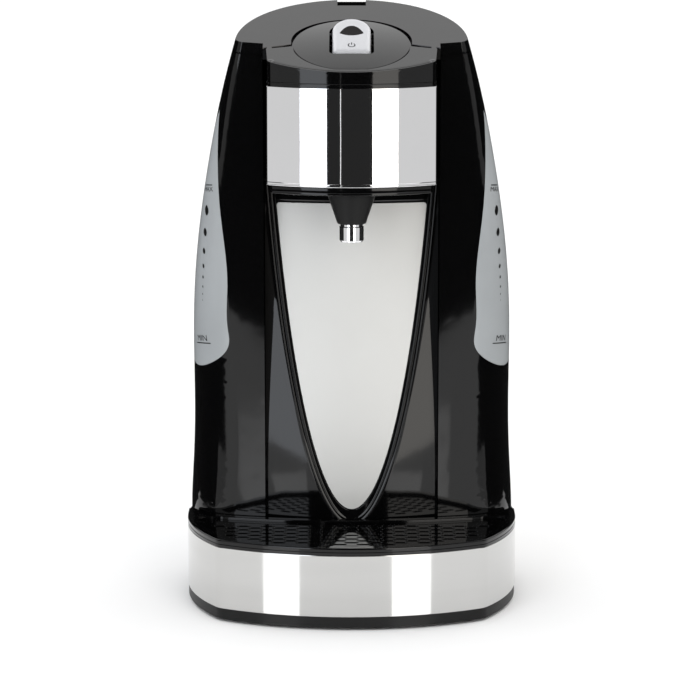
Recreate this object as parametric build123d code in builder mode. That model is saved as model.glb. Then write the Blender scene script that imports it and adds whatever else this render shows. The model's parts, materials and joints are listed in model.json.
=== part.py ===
from build123d import *
import os
from math import asin, atan, atan2, cos, degrees, radians, sin, sqrt

os.makedirs("parts", exist_ok=True)

# Hot-water tea maker, millimetres. The front faces -Y, the machine stands on z = 0, and the origin
# is on the floor below the middle of the base.

# ---------------------------------------------------------------- driving dimensions
# Fits
slip = 0.4                    # between a cover and what it meets
seat = 0.1                    # between a trim piece and the face that it is clipped to
running = 0.05                # shaft in a hole, on the radius

# Base, seen from above: a shallow front arc, two soft corners, round behind
base_half_width = 88.5
base_front = -95.0
base_rear = 95.0
base_front_radius = 131.0
base_corner_x = 70.0
base_side_y = -10.0           # the base is widest from here back
base_corner_round = 12.0
foot_radius = 5.3
foot_height = 3.5
foot_x = base_half_width - 29.5
feet = [(0.0, -84.0), (-foot_x, -70.0), (foot_x, -70.0), (-foot_x, 60.0), (foot_x, 60.0)]
foot_recess = 2.0
plate_bottom = 1.5
plate_floor = 3.5
plate_inset = 0.3
plate_rim = 3.7
band_bottom = 7.2
band_top = 40.0
band_thickness = 0.8
deck_top = 41.5
deck_thickness = 2.5
base_wall = 2.2
housing_split_y = -8.0        # the tray's housing in front, the boiler's housing behind

# Drip tray and grille
tray_gap = 1.0                # round the body and inside its pocket
tray_floor = 24.0
tray_wall = 1.6
tray_rim_top = 44.0
tray_basin_inset = 3.0
tray_basin_back = 3.4         # from the body
tray_lip = 2.6                # from the basin's outer face, beside the grille
tray_ledge = 1.0              # past the lip, under the grille
tray_shelf = 1.0              # thickness of that ledge
tray_horn_y = 2.0             # the tray's horns end here, beside the body
basin_horn_y = -16.4
grille_bottom = 40.5
grille_thickness = 2.0
slot_length = 7.6
slot_width = 3.0
slot_pitch_x = 12.8
slot_pitch_y = 8.6
slot_margin = 3.2
slot_first_y = -84.0

# Body: a leaning round-backed hull, given by formulas of the height z
body_wall = 2.5
body_top = 330.0              # the hull is drawn up to here, then cut by the sloping top
body_inset = 0.9              # from the base's widest, at the foot
body_flare = 2.1              # how much wider the foot is than the waist
body_half_width_low = base_half_width - body_inset
body_half_width_mid = body_half_width_low - body_flare
waist_z = 100.0               # the flare of the foot ends here
shoulder_z = 140.0            # the shoulders start to close here
shoulder_fall = 23.8          # how much narrower each side is at the collar
collar_z = 300.0
shoulder_power = 1.8
body_front_low = -24.5
lean_z = 90.0                 # the front leans forward above here
lean_forward = 22.5
lean_power = 1.2
body_rear_low = 92.5
back_lean = 67.5
back_power = 2.37
front_radius_low = 230.0
front_radius_gain = 75.0
corner_low = 34.0
corner_loss = 29.0
section_count = 8

# Sloping top
top_edge_y = -41.0            # top front edge of the two pillars
top_edge_z = 302.0
top_slope = 0.3325            # rise over run
lid_thickness = 6.0
roof_thickness = 2.5

# Front wall between the pillars, an upright cylinder
channel_half = 46.5
front_wall_y = -24.0
front_wall_radius = 150.0
fascia_thickness = 3.0
fascia_top = 225.0
vee_recess = 1.8

# Three nested elliptical outlines of the tapering front plate: tip height, half height, half width
plate_tip = 49.0
plate_half_height = 366.0
plate_half_width = 47.7
plate_top = 214.6
plate_thickness = 1.2
plate_corner = 1.6
groove_tip = 42.3
groove_half_height = 396.5
groove_half_width = 51.7
bezel_tip = 39.8
bezel_half_height = 325.0
bezel_half_width = 54.4
bezel_proud = 0.5
groove_depth = 0.9

# Side windows, in side view (y, z)
window_points = [
    (-29.5, 265.0),
    (-27.0, 222.0),
    (-25.2, 196.0),
    (-22.2, 167.0),
    (-19.9, 147.0),
    (-16.6, 131.4),
    (-8.0, 125.0),
    (6.0, 125.5),
    (18.0, 137.0),
    (22.5, 158.0),
    (16.0, 195.0),
    (0.0, 232.0),
]
window_centre = (-3.0, 165.0)
window_front_tangent = (0.02, -1)
window_rear_tangent = (-0.55, 1)
window_gap = 0.15
window_inner_x = 54.0         # the cut starts outside the pillars' inner walls

# Head between the pillars: chrome drum, black ring below, black cap above
head_half_width = 43.4
head_front = -78.5
head_front_radius = 78.0
head_back_half = 44.6
head_back_y = -46.0
head_corner = 4.0
ring_bottom = 225.5
drum_bottom = 229.8
drum_top = 281.1
drum_thickness = 0.8
ring_inset = 1.4
housing_wall = 2.0
housing_floor = 2.2
shelf_bottom = 251.0
shelf_front = -56.0
shelf_rear = -44.0
shelf_thickness = 2.0
bridge_bottom = 270.0
bridge_thickness = 3.0
bridge_front = -58.0
bridge_rear = -27.0
guide_radius = 4.0
guide_top = 276.0

# Cap with a round domed disc
cap_wall = 2.5
cap_skin = 3.0
disc_y = -45.0
disc_radius = 31.0
seam_side_x = 46.0
seam_side_y = -49.0           # where the cap's rear seam meets the pillars
seam_disc_y = -44.7           # where it meets the disc
seam_gap = 0.5
disc_groove_width = 0.6
disc_groove_depth = 0.8
dome_rise = 1.6

# Push button in its slot
button_half_width = 10.1
button_front = -57.4
button_rear = -22.0
button_front_round = 3.0
button_gap = 1.5
button_low = 1.6              # how far it stands out at its front and at its rear
button_high = 4.6
button_depth = 5.4            # skirt below the cap's surface
button_heel_depth = 4.0       # the same behind the heel line
heel_y = -34.0
heel_gap = 1.0                # behind the deep part of the button's skirt
button_edge = 1.1
button_wall = 1.6
pocket_depth = 9.0
heel_pocket_depth = 5.0
pocket_floor = 1.5
pivot_y = -27.0
pivot_depth = 2.6
pivot_radius = 1.0
pivot_half_length = 14.5
stem_y = -50.0
stem_radius = 2.4
stem_bottom = 286.6
stem_top = 300.5
light_hole = 1.2
stem_hole = 4.4
lens_y_low = -39.7
lens_y_high = -30.6
lens_half_width = 6.3
lens_corner_y = -38.0
lens_depth = 0.8

# Push rod, switch and lamp
rod_radius = 2.0
rod_gap = 0.3
rod_bottom = 264.0
rod_flange_radius = 3.6
rod_flange_thickness = 1.2
spring_radius = 3.0
spring_wire_radius = 0.35
spring_turns = 5
switch_length = 20.0
switch_width = 6.4
switch_top = 261.6
plunger_radius = 1.5
plunger_bottom = 259.0
plunger_bore_bottom = 256.4
lamp_board_length = 12.0
lamp_board_width = 10.0
lamp_board_thickness = 1.2
lamp_y = -34.0
lamp_radius = 1.5
lamp_height = 6.0

# Spout
spout_y = -59.0
cone_bottom = 209.0
cone_top_radius = 13.0
cone_bottom_radius = 7.5
spigot_radius = 6.0
spigot_top = 238.0
hose_socket_bottom = 234.0
nozzle_radius = 6.6
nozzle_bore = 4.6
nozzle_bottom = 199.5
nozzle_neck_radius = 5.6
nozzle_neck_top = 215.0
nut_radius = 9.5
nut_height = 4.0
water_bore = 2.5

# Lid hinge and seal
hinge_y = -43.5
hinge_depth = 3.2
hinge_pin_radius = 1.5
hinge_pin_inner = 25.0
hinge_pin_outer = 42.0
hinge_barrel = 3.0
barrel_inner = 31.6
barrel_outer = 46.0
lid_undercut = 0.5            # backward shift per depth of the lid's edge round the disc
undercut_depth = 40.0
hinge_relief = 0.4
notch_half_width = 7.6
notch_front_y = 4.6
notch_depth = 4.5
seal_width = 2.0
seal_gap = 0.3
seal_front_y = -9.0

# Water tank
tank_clearance = 1.0
tank_wall = 2.0
tank_front = -9.5
tank_bottom = 96.0
tank_floor = 2.0
tank_rim_drop = 1.1           # below the shell's top edge
outlet_y = 32.0
outlet_neck = 8.0
outlet_bore = 5.0
outlet_flange = 12.0
outlet_flange_thickness = 2.0
outlet_bottom = 88.0

# Boiler under the tank
boiler_y = 32.0
boiler_radius = 40.0
boiler_bottom = 50.0
boiler_rim_top = 80.0
boiler_wall = 1.0
boiler_flange = 45.0
boiler_seal_thickness = 1.2
boiler_lid_thickness = 3.0
chamber_outer = 11.0
chamber_inner = 9.2
chamber_top = 93.0
float_radius = 7.0
float_thickness = 1.8
float_port_radius = 1.2
float_port_ring = 4.5
ring_seal_height = 2.0
ring_seal_z = 89.5
ear_ring = 50.0               # circle of the boiler's three screws
ear_radius = 4.0
heater_plate_radius = 36.0
heater_plate_thickness = 4.0
element_ring = 28.0
element_width = 7.0
element_height = 6.0
element_gap_degrees = 50.0
thermostat_radius = 8.0
thermostat_height = 8.0
cutout_length = 12.0
cutout_width = 5.0
cutout_height = 4.0
boiler_opening = 42.0
screw_radius = 1.5
screw_head_radius = 3.0
screw_head_height = 2.2
screw_length = 11.0
screw_socket = 1.3
screw_recess = 2.4              # counterbore under the base plate
head_pad_y = -14.5            # flat seats for the head screws on the wall's inner face
head_boss_y = -28.0
head_boss_length = 9.0
cap_posts = [(-19.0, -40.0), (19.0, -40.0)]
cap_post_top = 297.0

# Hose from the boiler to the spout
hose_radius = 4.0
hose_bore = 2.5
hose_low_z = 89.0
hose_high_z = 246.0
hose_y = -14.0
hose_start_y = -1.2
hose_hole = 5.0
port_y = -1.0
port_width = 12.0
port_length = 10.0
port_top = 94.0
hose_bend_low = 8.0
hose_bend_high = 6.0
hose_bend_front = 8.0

# Electrics in the base and the inlet of the mains lead
board_x = -6.0
board_y = 62.0
board_length = 62.0
board_width = 30.0
board_thickness = 1.6
board_z = 12.0
board_post_radius = 3.0
relay_length = 19.0
relay_width = 15.0
relay_height = 12.0
relay_shift = 15.0
terminal_x = 42.0
terminal_y = 52.0
terminal_length = 24.0
terminal_width = 12.0
terminal_height = 12.0
inlet_z = 23.0
inlet_radius = 7.0
inlet_bore = 3.6
inlet_length = 16.0
inlet_collar = 9.0
inlet_collar_thickness = 2.5
inlet_recess = 0.6

# Posts and screws
post_radius = 4.0
plate_screw_x = base_half_width - 18.5
plate_screws = [(-plate_screw_x, 4.0), (plate_screw_x, 4.0), (-44.0, 72.0), (44.0, 72.0)]
shell_screw_front_x = channel_half + 5.0
shell_screw_rear_x = body_half_width_low - 8.6
shell_rib_x = body_half_width_low - 6.1  # the ribs join the rear bosses to the wall
shell_screws = [
    (-shell_screw_front_x, -12.5),
    (shell_screw_front_x, -12.5),
    (-shell_screw_rear_x, 26.0),
    (shell_screw_rear_x, 26.0),
]
shell_ribs = [(-shell_rib_x, 26.0), (shell_rib_x, 26.0)]
shell_boss_height = 16.0
shell_rib_length = 6.0
tank_posts = [(-62.0, 6.0), (62.0, 6.0), (-50.0, 60.0), (50.0, 60.0)]
head_screw_x = 30.0
head_screw_z = [240.0, 274.0]
head_screw_spots = [(side * head_screw_x, z) for side in (-1, 1) for z in head_screw_z]

# ---------------------------------------------------------------- derived sizes
slope_angle = degrees(atan(top_slope))
top_plane = Plane(
    origin=(0, top_edge_y, top_edge_z),
    x_dir=(1, 0, 0),
    z_dir=(0, -sin(radians(slope_angle)), cos(radians(slope_angle))),
)
shell_drop = lid_thickness + slip
tank_drop = shell_drop + tank_rim_drop
front_wall_centre = front_wall_y + front_wall_radius
shell_wall_outer = front_wall_radius - fascia_thickness - seat
shell_wall_inner = shell_wall_outer - body_wall
reach = 400.0                 # longer than the machine in every direction


def top_z(y, depth=0.0):
    # height of the sloping top at y, depth below it and square to it
    return top_edge_z + top_slope * (y - top_edge_y) - depth / cos(radians(slope_angle))


def body_half_width(z):
    flare = max(0.0, min(1.0, (waist_z - z) / (waist_z - deck_top)))
    close = max(0.0, (z - shoulder_z) / (collar_z - shoulder_z))
    width = body_half_width_mid + (body_half_width_low - body_half_width_mid) * flare**1.5
    return width - shoulder_fall * close**shoulder_power


def lean(z):
    return max(0.0, (z - lean_z) / (top_edge_z - lean_z)) ** lean_power


def body_rear(z):
    return body_rear_low - back_lean * ((z - deck_top) / (collar_z - deck_top)) ** back_power


def draw_body_outline(z, inset=0.0):
    # front arc, two corner arcs tangent to it and to the sides, and two quarter ellipses behind
    half = body_half_width(z) - inset
    rear = body_rear(z) - inset
    arc_r = front_radius_low + front_radius_gain * lean(z) - inset
    corner_r = max(corner_low - corner_loss * min(lean(z), 1.0) - inset, 1.2)
    arc_y = body_front_low - lean_forward * lean(z) + inset + arc_r
    corner_x = half - corner_r
    side_y = arc_y - sqrt((arc_r - corner_r) ** 2 - corner_x**2)
    spread = degrees(asin(corner_x / (arc_r - corner_r)))
    CenterArc((0, arc_y), arc_r, -90 - spread, 2 * spread)
    CenterArc((corner_x, side_y), corner_r, -90 + spread, 90 - spread)
    EllipticalCenterArc((0, side_y), half, rear - side_y, start_angle=0, arc_size=90)
    EllipticalCenterArc((0, side_y), half, rear - side_y, start_angle=90, arc_size=90)
    CenterArc((-corner_x, side_y), corner_r, 180, 90 - spread)


def body_hull(inset):
    # solid hull, each outline moved in by inset
    with BuildPart() as hull:
        for step in range(section_count):
            z = deck_top + (body_top - deck_top) * step / (section_count - 1)
            with BuildSketch(Plane.XY.offset(z)):
                with BuildLine():
                    draw_body_outline(z, inset)
                make_face()
        loft()
    return hull.part


def base_corner(inset):
    # where the front arc and the side arc of the base meet
    side_r = ((base_half_width - base_corner_x) ** 2 + corner_rise**2) / (2 * (base_half_width - base_corner_x))
    side_x = base_half_width - side_r
    front_y = base_front + base_front_radius
    gap_x, gap_y = side_x, base_side_y - front_y
    gap = sqrt(gap_x**2 + gap_y**2)
    near, far = base_front_radius - inset, side_r - inset
    along = (near**2 - far**2 + gap**2) / (2 * gap)
    across = sqrt(near**2 - along**2)
    x = (along * gap_x - across * gap_y) / gap
    y = front_y + (along * gap_y + across * gap_x) / gap
    return x, y, side_x, far


front_corner_y = base_front + base_front_radius - sqrt(base_front_radius**2 - base_corner_x**2)
corner_rise = base_side_y - front_corner_y


def base_outline(inset=0.0):
    # face of the base seen from above, moved in by inset
    half = base_half_width - inset
    round_y = base_rear - base_half_width
    x, y, side_x, side_r = base_corner(inset)
    start = degrees(atan2(y - base_side_y, x - side_x))
    with BuildSketch(mode=Mode.PRIVATE) as outline:
        with BuildLine():
            ThreePointArc((-x, y), (0, base_front + inset), (x, y))
            CenterArc((side_x, base_side_y), side_r, start, -start)
            Line((half, base_side_y), (half, round_y))
            ThreePointArc((half, round_y), (0, base_rear - inset), (-half, round_y))
            Line((-half, round_y), (-half, base_side_y))
            CenterArc((-side_x, base_side_y), side_r, 180, -start)
        make_face()
        fillet(outline.vertices().sort_by(Axis.Y)[:2], base_corner_round - inset / 2)
    return outline.sketch


def body_face(z, inset=0.0):
    with BuildSketch(mode=Mode.PRIVATE) as outline:
        with BuildLine():
            draw_body_outline(z, inset)
        make_face()
    return outline.sketch


def tray_face(base_inset, body_gap, horn_y):
    # crescent between the base's edge and the body, in front of horn_y
    with BuildSketch(mode=Mode.PRIVATE) as crescent:
        add(base_outline(base_inset))
        add(body_face(deck_top, -body_gap), mode=Mode.SUBTRACT)
        with Locations((0, horn_y)):
            Rectangle(reach, reach, align=(Align.CENTER, Align.MIN), mode=Mode.SUBTRACT)
    return crescent.sketch


def head_face(inset=0.0, back_y=0.0):
    # front arc, soft corners and slightly flaring sides, straight behind head_back_y, back to back_y
    half = head_half_width - inset
    arc_r = head_front_radius - inset
    corner_y = head_front + head_front_radius - sqrt(arc_r**2 - half**2)
    back_half = head_back_half - inset
    with BuildSketch(mode=Mode.PRIVATE) as outline:
        with BuildLine():
            ThreePointArc((-half, corner_y), (0, head_front + inset), (half, corner_y))
            Polyline((half, corner_y), (back_half, head_back_y), (back_half, 0), (-back_half, 0))
            Polyline((-back_half, 0), (-back_half, head_back_y), (-half, corner_y))
        make_face()
        fillet(outline.vertices().sort_by(Axis.Y)[:2], max(head_corner - inset, 1.0))
        with Locations((0, back_y)):
            Rectangle(reach, reach, align=(Align.CENTER, Align.MIN), mode=Mode.SUBTRACT)
    return outline.sketch


def cut_above(plane):
    with BuildSketch(plane) as above:
        Rectangle(reach, reach)
    extrude(above.sketch, amount=reach, mode=Mode.SUBTRACT)


def cut_below(plane):
    with BuildSketch(plane) as below:
        Rectangle(reach, reach)
    extrude(below.sketch, amount=-reach, mode=Mode.SUBTRACT)


def cut_above_top(depth):
    # take away what is above the sloping top, lowered by depth
    cut_above(top_plane.offset(-depth))


def cut_below_top(depth):
    cut_below(top_plane.offset(-depth))


def cut_behind_wall(radius):
    # take away what is on or behind an upright cylinder of the front wall
    with BuildSketch(Plane.XY) as wall:
        with Locations((0, front_wall_centre)):
            Circle(radius)
    extrude(wall.sketch, amount=reach, mode=Mode.SUBTRACT)


def vee_face(tip, half_height, half_width, top):
    # lower end of an upright ellipse, cut off level at the top
    centre = tip + half_height
    rise = asin((top - centre) / half_height)
    reach_x = half_width * cos(rise)
    with BuildSketch(mode=Mode.PRIVATE) as tongue:
        with BuildLine():
            EllipticalCenterArc(
                (0, centre),
                half_width,
                half_height,
                start_angle=180 - degrees(rise),
                arc_size=180 + 2 * degrees(rise),
            )
            Line((reach_x, top), (-reach_x, top))
        make_face()
    return tongue.sketch


def keep_inside_wall(radius):
    # keep what is behind an upright cylinder of the front wall
    with BuildSketch(Plane.XY) as wall:
        with Locations((0, front_wall_centre)):
            Circle(radius)
    extrude(wall.sketch, amount=reach, mode=Mode.INTERSECT)


def cut_channel(half, radius):
    # take away the room between the pillars, in front of the wall cylinder
    with BuildSketch(Plane.XY) as room:
        with Locations((0, front_wall_centre)):
            Rectangle(2 * half, reach + front_wall_centre, align=(Align.CENTER, Align.MAX))
            Circle(radius, mode=Mode.SUBTRACT)
    extrude(room.sketch, amount=reach, mode=Mode.SUBTRACT)


def window_face(grow):
    # one side window drawn on (y, z), each point moved out from the middle by grow
    spots = []
    for y, z in window_points:
        out_y, out_z = y - window_centre[0], z - window_centre[1]
        stretch = 1 + grow / sqrt(out_y**2 + out_z**2)
        spots.append((window_centre[0] + out_y * stretch, window_centre[1] + out_z * stretch))
    with BuildSketch(mode=Mode.PRIVATE) as window:
        with BuildLine():
            Spline(*spots, spots[0], tangents=(window_front_tangent, window_rear_tangent))
        make_face()
    return window.sketch


# ---------------------------------------------------------------- body
outer_hull = body_hull(0.0)
inner_hull = body_hull(body_wall)

# Roof over the pillars and the hose, in front of the tank
with BuildPart() as roof:
    with BuildSketch(Plane.XY.offset(deck_top)):
        with Locations((0, tank_front - slip)):
            Rectangle(reach, reach, align=(Align.CENTER, Align.MAX))
    extrude(amount=reach)
    cut_below_top(shell_drop + roof_thickness)

# Room inside the shell, clear of the channel's walls and of the pillars' roofs
with BuildPart() as cavity:
    add(inner_hull)
    cut_channel(channel_half + body_wall, shell_wall_inner)
    add(roof.part, mode=Mode.SUBTRACT)

with BuildPart() as window_right:
    add(outer_hull)
    add(inner_hull, mode=Mode.SUBTRACT)
    with BuildSketch(Plane.YZ.offset(window_inner_x)):
        add(window_face(0))
    extrude(amount=reach, mode=Mode.INTERSECT)
window_right.part.label = "window_right"
export_step(window_right.part, "parts/window_right.step")

with BuildPart() as window_left:
    add(mirror(window_right.part, about=Plane.YZ, mode=Mode.PRIVATE))
window_left.part.label = "window_left"
export_step(window_left.part, "parts/window_left.step")

with BuildPart() as body_shell:
    add(outer_hull)
    add(cavity.part, mode=Mode.SUBTRACT)
    cut_channel(channel_half, shell_wall_outer)
    # the two window openings
    with BuildSketch(Plane.YZ.offset(window_inner_x)):
        add(window_face(window_gap))
    extrude(amount=reach, mode=Mode.SUBTRACT)
    with BuildSketch(Plane.YZ.offset(-window_inner_x)):
        add(window_face(window_gap))
    extrude(amount=-reach, mode=Mode.SUBTRACT)
    # bosses for the screws from the deck, joined to the wall beside them
    with BuildSketch(Plane.XY.offset(deck_top)):
        with Locations(*shell_screws):
            Circle(post_radius)
        with Locations(*shell_ribs):
            Rectangle(shell_rib_length, 2 * post_radius)
    extrude(amount=shell_boss_height)
    with BuildSketch(Plane.XY.offset(deck_top)):
        with Locations(*shell_screws):
            Circle(screw_radius + running)
    extrude(amount=shell_boss_height - 2, mode=Mode.SUBTRACT)
    cut_above_top(shell_drop)
    # flat seats for the head screws
    with BuildSketch(Plane.XZ.offset(-head_pad_y)):
        with Locations(*head_screw_spots):
            Circle(post_radius)
    extrude(amount=body_wall)
    # hose and head screws pass through the front wall
    with BuildSketch(Plane.XZ):
        with Locations((0, hose_high_z)):
            Circle(hose_hole)
        with Locations(*head_screw_spots):
            Circle(screw_radius + 0.2)
    extrude(amount=reach, mode=Mode.SUBTRACT)
body_shell.part.label = "body_shell"
export_step(body_shell.part, "parts/body_shell.step")

# ---------------------------------------------------------------- front between the pillars
with BuildPart() as vee_cutter:
    with BuildSketch(Plane.XZ):
        add(vee_face(bezel_tip, bezel_half_height, bezel_half_width, fascia_top))
    extrude(amount=reach)
    cut_behind_wall(front_wall_radius - vee_recess)

with BuildPart() as front_fascia:
    with BuildSketch(Plane.XY.offset(deck_top)):
        with Locations((0, front_wall_centre)):
            Circle(front_wall_radius)
            Circle(front_wall_radius - fascia_thickness, mode=Mode.SUBTRACT)
        with Locations((0, front_wall_y)):
            Rectangle(2 * (channel_half - slip), front_wall_radius, mode=Mode.INTERSECT)
    extrude(amount=fascia_top - deck_top)
    add(vee_cutter.part, mode=Mode.SUBTRACT)
front_fascia.part.label = "front_fascia"
export_step(front_fascia.part, "parts/front_fascia.step")

with BuildPart() as groove_cutter:
    with BuildSketch(Plane.XZ):
        add(vee_face(groove_tip, groove_half_height, groove_half_width, fascia_top + 10))
    extrude(amount=reach)
    cut_behind_wall(front_wall_radius - groove_depth)

with BuildPart() as fascia_bezel:
    with BuildSketch(Plane.XZ):
        add(vee_face(bezel_tip + seat, bezel_half_height, bezel_half_width - seat, fascia_top))
        with Locations((0, deck_top)):
            Rectangle(2 * (channel_half - slip), reach, align=(Align.CENTER, Align.MIN), mode=Mode.INTERSECT)
        add(
            vee_face(plate_tip - seat, plate_half_height, plate_half_width + seat, plate_top + seat),
            mode=Mode.SUBTRACT,
        )
    extrude(amount=reach)
    cut_behind_wall(front_wall_radius - vee_recess + seat)
    keep_inside_wall(front_wall_radius + bezel_proud)
    add(groove_cutter.part, mode=Mode.SUBTRACT)
fascia_bezel.part.label = "fascia_bezel"
export_step(fascia_bezel.part, "parts/fascia_bezel.step")

with BuildPart() as front_plate:
    with BuildSketch(Plane.XZ) as plate_sketch:
        add(vee_face(plate_tip, plate_half_height, plate_half_width, plate_top))
        fillet(plate_sketch.vertices(), plate_corner)
    extrude(amount=reach)
    cut_behind_wall(front_wall_radius - vee_recess + seat)
    keep_inside_wall(front_wall_radius - vee_recess + seat + plate_thickness)
front_plate.part.label = "front_plate"
export_step(front_plate.part, "parts/front_plate.step")

# ---------------------------------------------------------------- base
with BuildPart() as base_plate:
    with BuildSketch(Plane.XY.offset(plate_bottom)):
        add(base_outline(plate_inset))
    extrude(amount=band_bottom - plate_bottom)
    with BuildSketch(Plane.XY.offset(plate_bottom + plate_floor)):
        add(base_outline(plate_inset + plate_rim))
    extrude(amount=reach, mode=Mode.SUBTRACT)
    with BuildSketch(Plane.XY.offset(plate_bottom)):
        with Locations(*feet):
            Circle(foot_radius + seat)
    extrude(amount=foot_recess, mode=Mode.SUBTRACT)
    with BuildSketch(Plane.XY.offset(plate_bottom)):
        with Locations(*plate_screws):
            Circle(screw_radius + seat)
    extrude(amount=plate_floor, mode=Mode.SUBTRACT)
    with BuildSketch(Plane.XY.offset(plate_bottom)):
        with Locations(*plate_screws):
            Circle(screw_head_radius + seat)
    extrude(amount=screw_recess, mode=Mode.SUBTRACT)
    # posts under the control board
    with BuildSketch(Plane.XY.offset(plate_bottom + plate_floor)):
        with Locations((board_x, board_y)):
            with GridLocations(board_length - 2 * board_post_radius, board_width - 2 * board_post_radius, 2, 2):
                Circle(board_post_radius)
    extrude(amount=board_z - plate_bottom - plate_floor)
base_plate.part.label = "base_plate"
export_step(base_plate.part, "parts/base_plate.step")

with BuildPart() as rubber_feet:
    with BuildSketch(Plane.XY):
        with Locations(*feet):
            Circle(foot_radius)
    extrude(amount=foot_height)
rubber_feet.part.label = "rubber_feet"
export_step(rubber_feet.part, "parts/rubber_feet.step")

with BuildPart() as base_band:
    with BuildSketch(Plane.XY.offset(band_bottom)):
        add(base_outline())
        add(base_outline(band_thickness), mode=Mode.SUBTRACT)
    extrude(amount=band_top - band_bottom)
    with BuildSketch(Plane.XZ):
        with Locations((0, inlet_z)):
            Circle(inlet_radius + seat)
    extrude(amount=-reach, mode=Mode.SUBTRACT)
base_band.part.label = "base_band"
export_step(base_band.part, "parts/base_band.step")

boiler_ears = [
    (ear_ring * cos(radians(angle)), boiler_y + ear_ring * sin(radians(angle)))
    for angle in (90, 210, 330)
]

with BuildPart() as whole_housing:
    with BuildSketch(Plane.XY.offset(band_bottom)):
        add(base_outline(band_thickness + seat))
    extrude(amount=deck_top - band_bottom)
    with BuildSketch(Plane.XY.offset(band_bottom)):
        add(base_outline(band_thickness + seat + base_wall))
    extrude(amount=deck_top - deck_thickness - band_bottom, mode=Mode.SUBTRACT)
    with BuildSketch(Plane.XY.offset(band_top)):
        add(base_outline())
    extrude(amount=deck_top - band_top)
    # tub round the drip tray's basin
    with BuildSketch(Plane.XY.offset(tray_floor - base_wall)):
        add(
            tray_face(
                max(tray_basin_inset - tray_gap - base_wall, band_thickness + seat),
                tray_basin_back - tray_gap - base_wall,
                basin_horn_y + tray_gap + base_wall,
            )
        )
    extrude(amount=deck_top - tray_floor + base_wall)
    with BuildSketch(Plane.XY.offset(tray_floor)):
        add(tray_face(tray_basin_inset - tray_gap, tray_basin_back - tray_gap, basin_horn_y + tray_gap))
    extrude(amount=reach, mode=Mode.SUBTRACT)
    # posts for the plate screws below the deck, for the tank and the boiler above it
    with BuildSketch(Plane.XY.offset(plate_bottom + plate_floor)):
        with Locations(*plate_screws):
            Circle(post_radius)
    extrude(amount=deck_top - plate_bottom - plate_floor)
    with BuildSketch(Plane.XY.offset(plate_bottom + plate_floor)):
        with Locations(*plate_screws):
            Circle(screw_radius + running)
    extrude(amount=screw_length, mode=Mode.SUBTRACT)
    with BuildSketch(Plane.XY.offset(deck_top)):
        with Locations(*tank_posts):
            Circle(post_radius)
    extrude(amount=tank_bottom - deck_top)
    with BuildSketch(Plane.XY.offset(deck_top - deck_thickness)):
        with Locations(*boiler_ears):
            Circle(post_radius)
    extrude(amount=boiler_rim_top - boiler_wall - deck_top + deck_thickness)
    with BuildSketch(Plane.XY.offset(boiler_rim_top - boiler_wall)):
        with Locations(*boiler_ears):
            Circle(screw_radius + running)
    extrude(amount=-screw_length, mode=Mode.SUBTRACT)
    # openings: boiler, shell screws, mains inlet
    with BuildSketch(Plane.XY.offset(deck_top - deck_thickness)):
        with Locations((0, boiler_y)):
            Circle(boiler_opening)
        with Locations(*shell_screws):
            Circle(screw_radius + seat)
    extrude(amount=deck_thickness, mode=Mode.SUBTRACT)
    with BuildSketch(Plane.XZ.offset(-base_rear + 10)):
        with Locations((0, inlet_z)):
            Circle(inlet_radius + seat)
    extrude(amount=-reach, mode=Mode.SUBTRACT)

with BuildPart() as tray_housing:
    add(whole_housing.part)
    with BuildSketch(Plane.XZ.offset(-housing_split_y)):
        Rectangle(2 * reach, 2 * reach)
    extrude(amount=-reach, mode=Mode.SUBTRACT)
tray_housing.part.label = "tray_housing"
export_step(tray_housing.part, "parts/tray_housing.step")

with BuildPart() as base_housing:
    add(whole_housing.part)
    with BuildSketch(Plane.XZ.offset(-housing_split_y)):
        Rectangle(2 * reach, 2 * reach)
    extrude(amount=reach, mode=Mode.SUBTRACT)
base_housing.part.label = "base_housing"
export_step(base_housing.part, "parts/base_housing.step")

inlet_outer_y = base_rear - inlet_recess
inlet_collar_y = base_rear - band_thickness - seat - base_wall - 2 * slip

with BuildPart() as inlet_bushing:
    with BuildSketch(Plane.XZ.offset(-inlet_outer_y)):
        with Locations((0, inlet_z)):
            Circle(inlet_radius)
    extrude(amount=inlet_length)
    with BuildSketch(Plane.XZ.offset(-inlet_collar_y)):
        with Locations((0, inlet_z)):
            Circle(inlet_collar)
    extrude(amount=inlet_collar_thickness)
    with BuildSketch(Plane.XZ.offset(-inlet_outer_y)):
        with Locations((0, inlet_z)):
            Circle(inlet_bore)
    extrude(amount=inlet_length, mode=Mode.SUBTRACT)
inlet_bushing.part.label = "inlet_bushing"
export_step(inlet_bushing.part, "parts/inlet_bushing.step")

with BuildPart() as drip_tray:
    with BuildSketch(Plane.XY.offset(deck_top)):
        add(tray_face(0.0, tray_gap, tray_horn_y))
    extrude(amount=tray_rim_top - deck_top)
    with BuildSketch(Plane.XY.offset(tray_floor)):
        add(tray_face(tray_basin_inset, tray_basin_back, basin_horn_y))
    extrude(amount=deck_top - tray_floor)
    # basin, mouth inside the ledge, and seat of the grille
    for low, high, inward in (
        (tray_floor + tray_wall, grille_bottom - tray_shelf, tray_wall),
        (grille_bottom - tray_shelf, grille_bottom, tray_lip + tray_ledge),
        (grille_bottom, tray_rim_top, tray_lip),
    ):
        with BuildSketch(Plane.XY.offset(low)):
            add(tray_face(tray_basin_inset + inward, tray_basin_back + inward, basin_horn_y - inward))
        extrude(amount=high - low, mode=Mode.SUBTRACT)
drip_tray.part.label = "drip_tray"
export_step(drip_tray.part, "parts/drip_tray.step")

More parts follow.
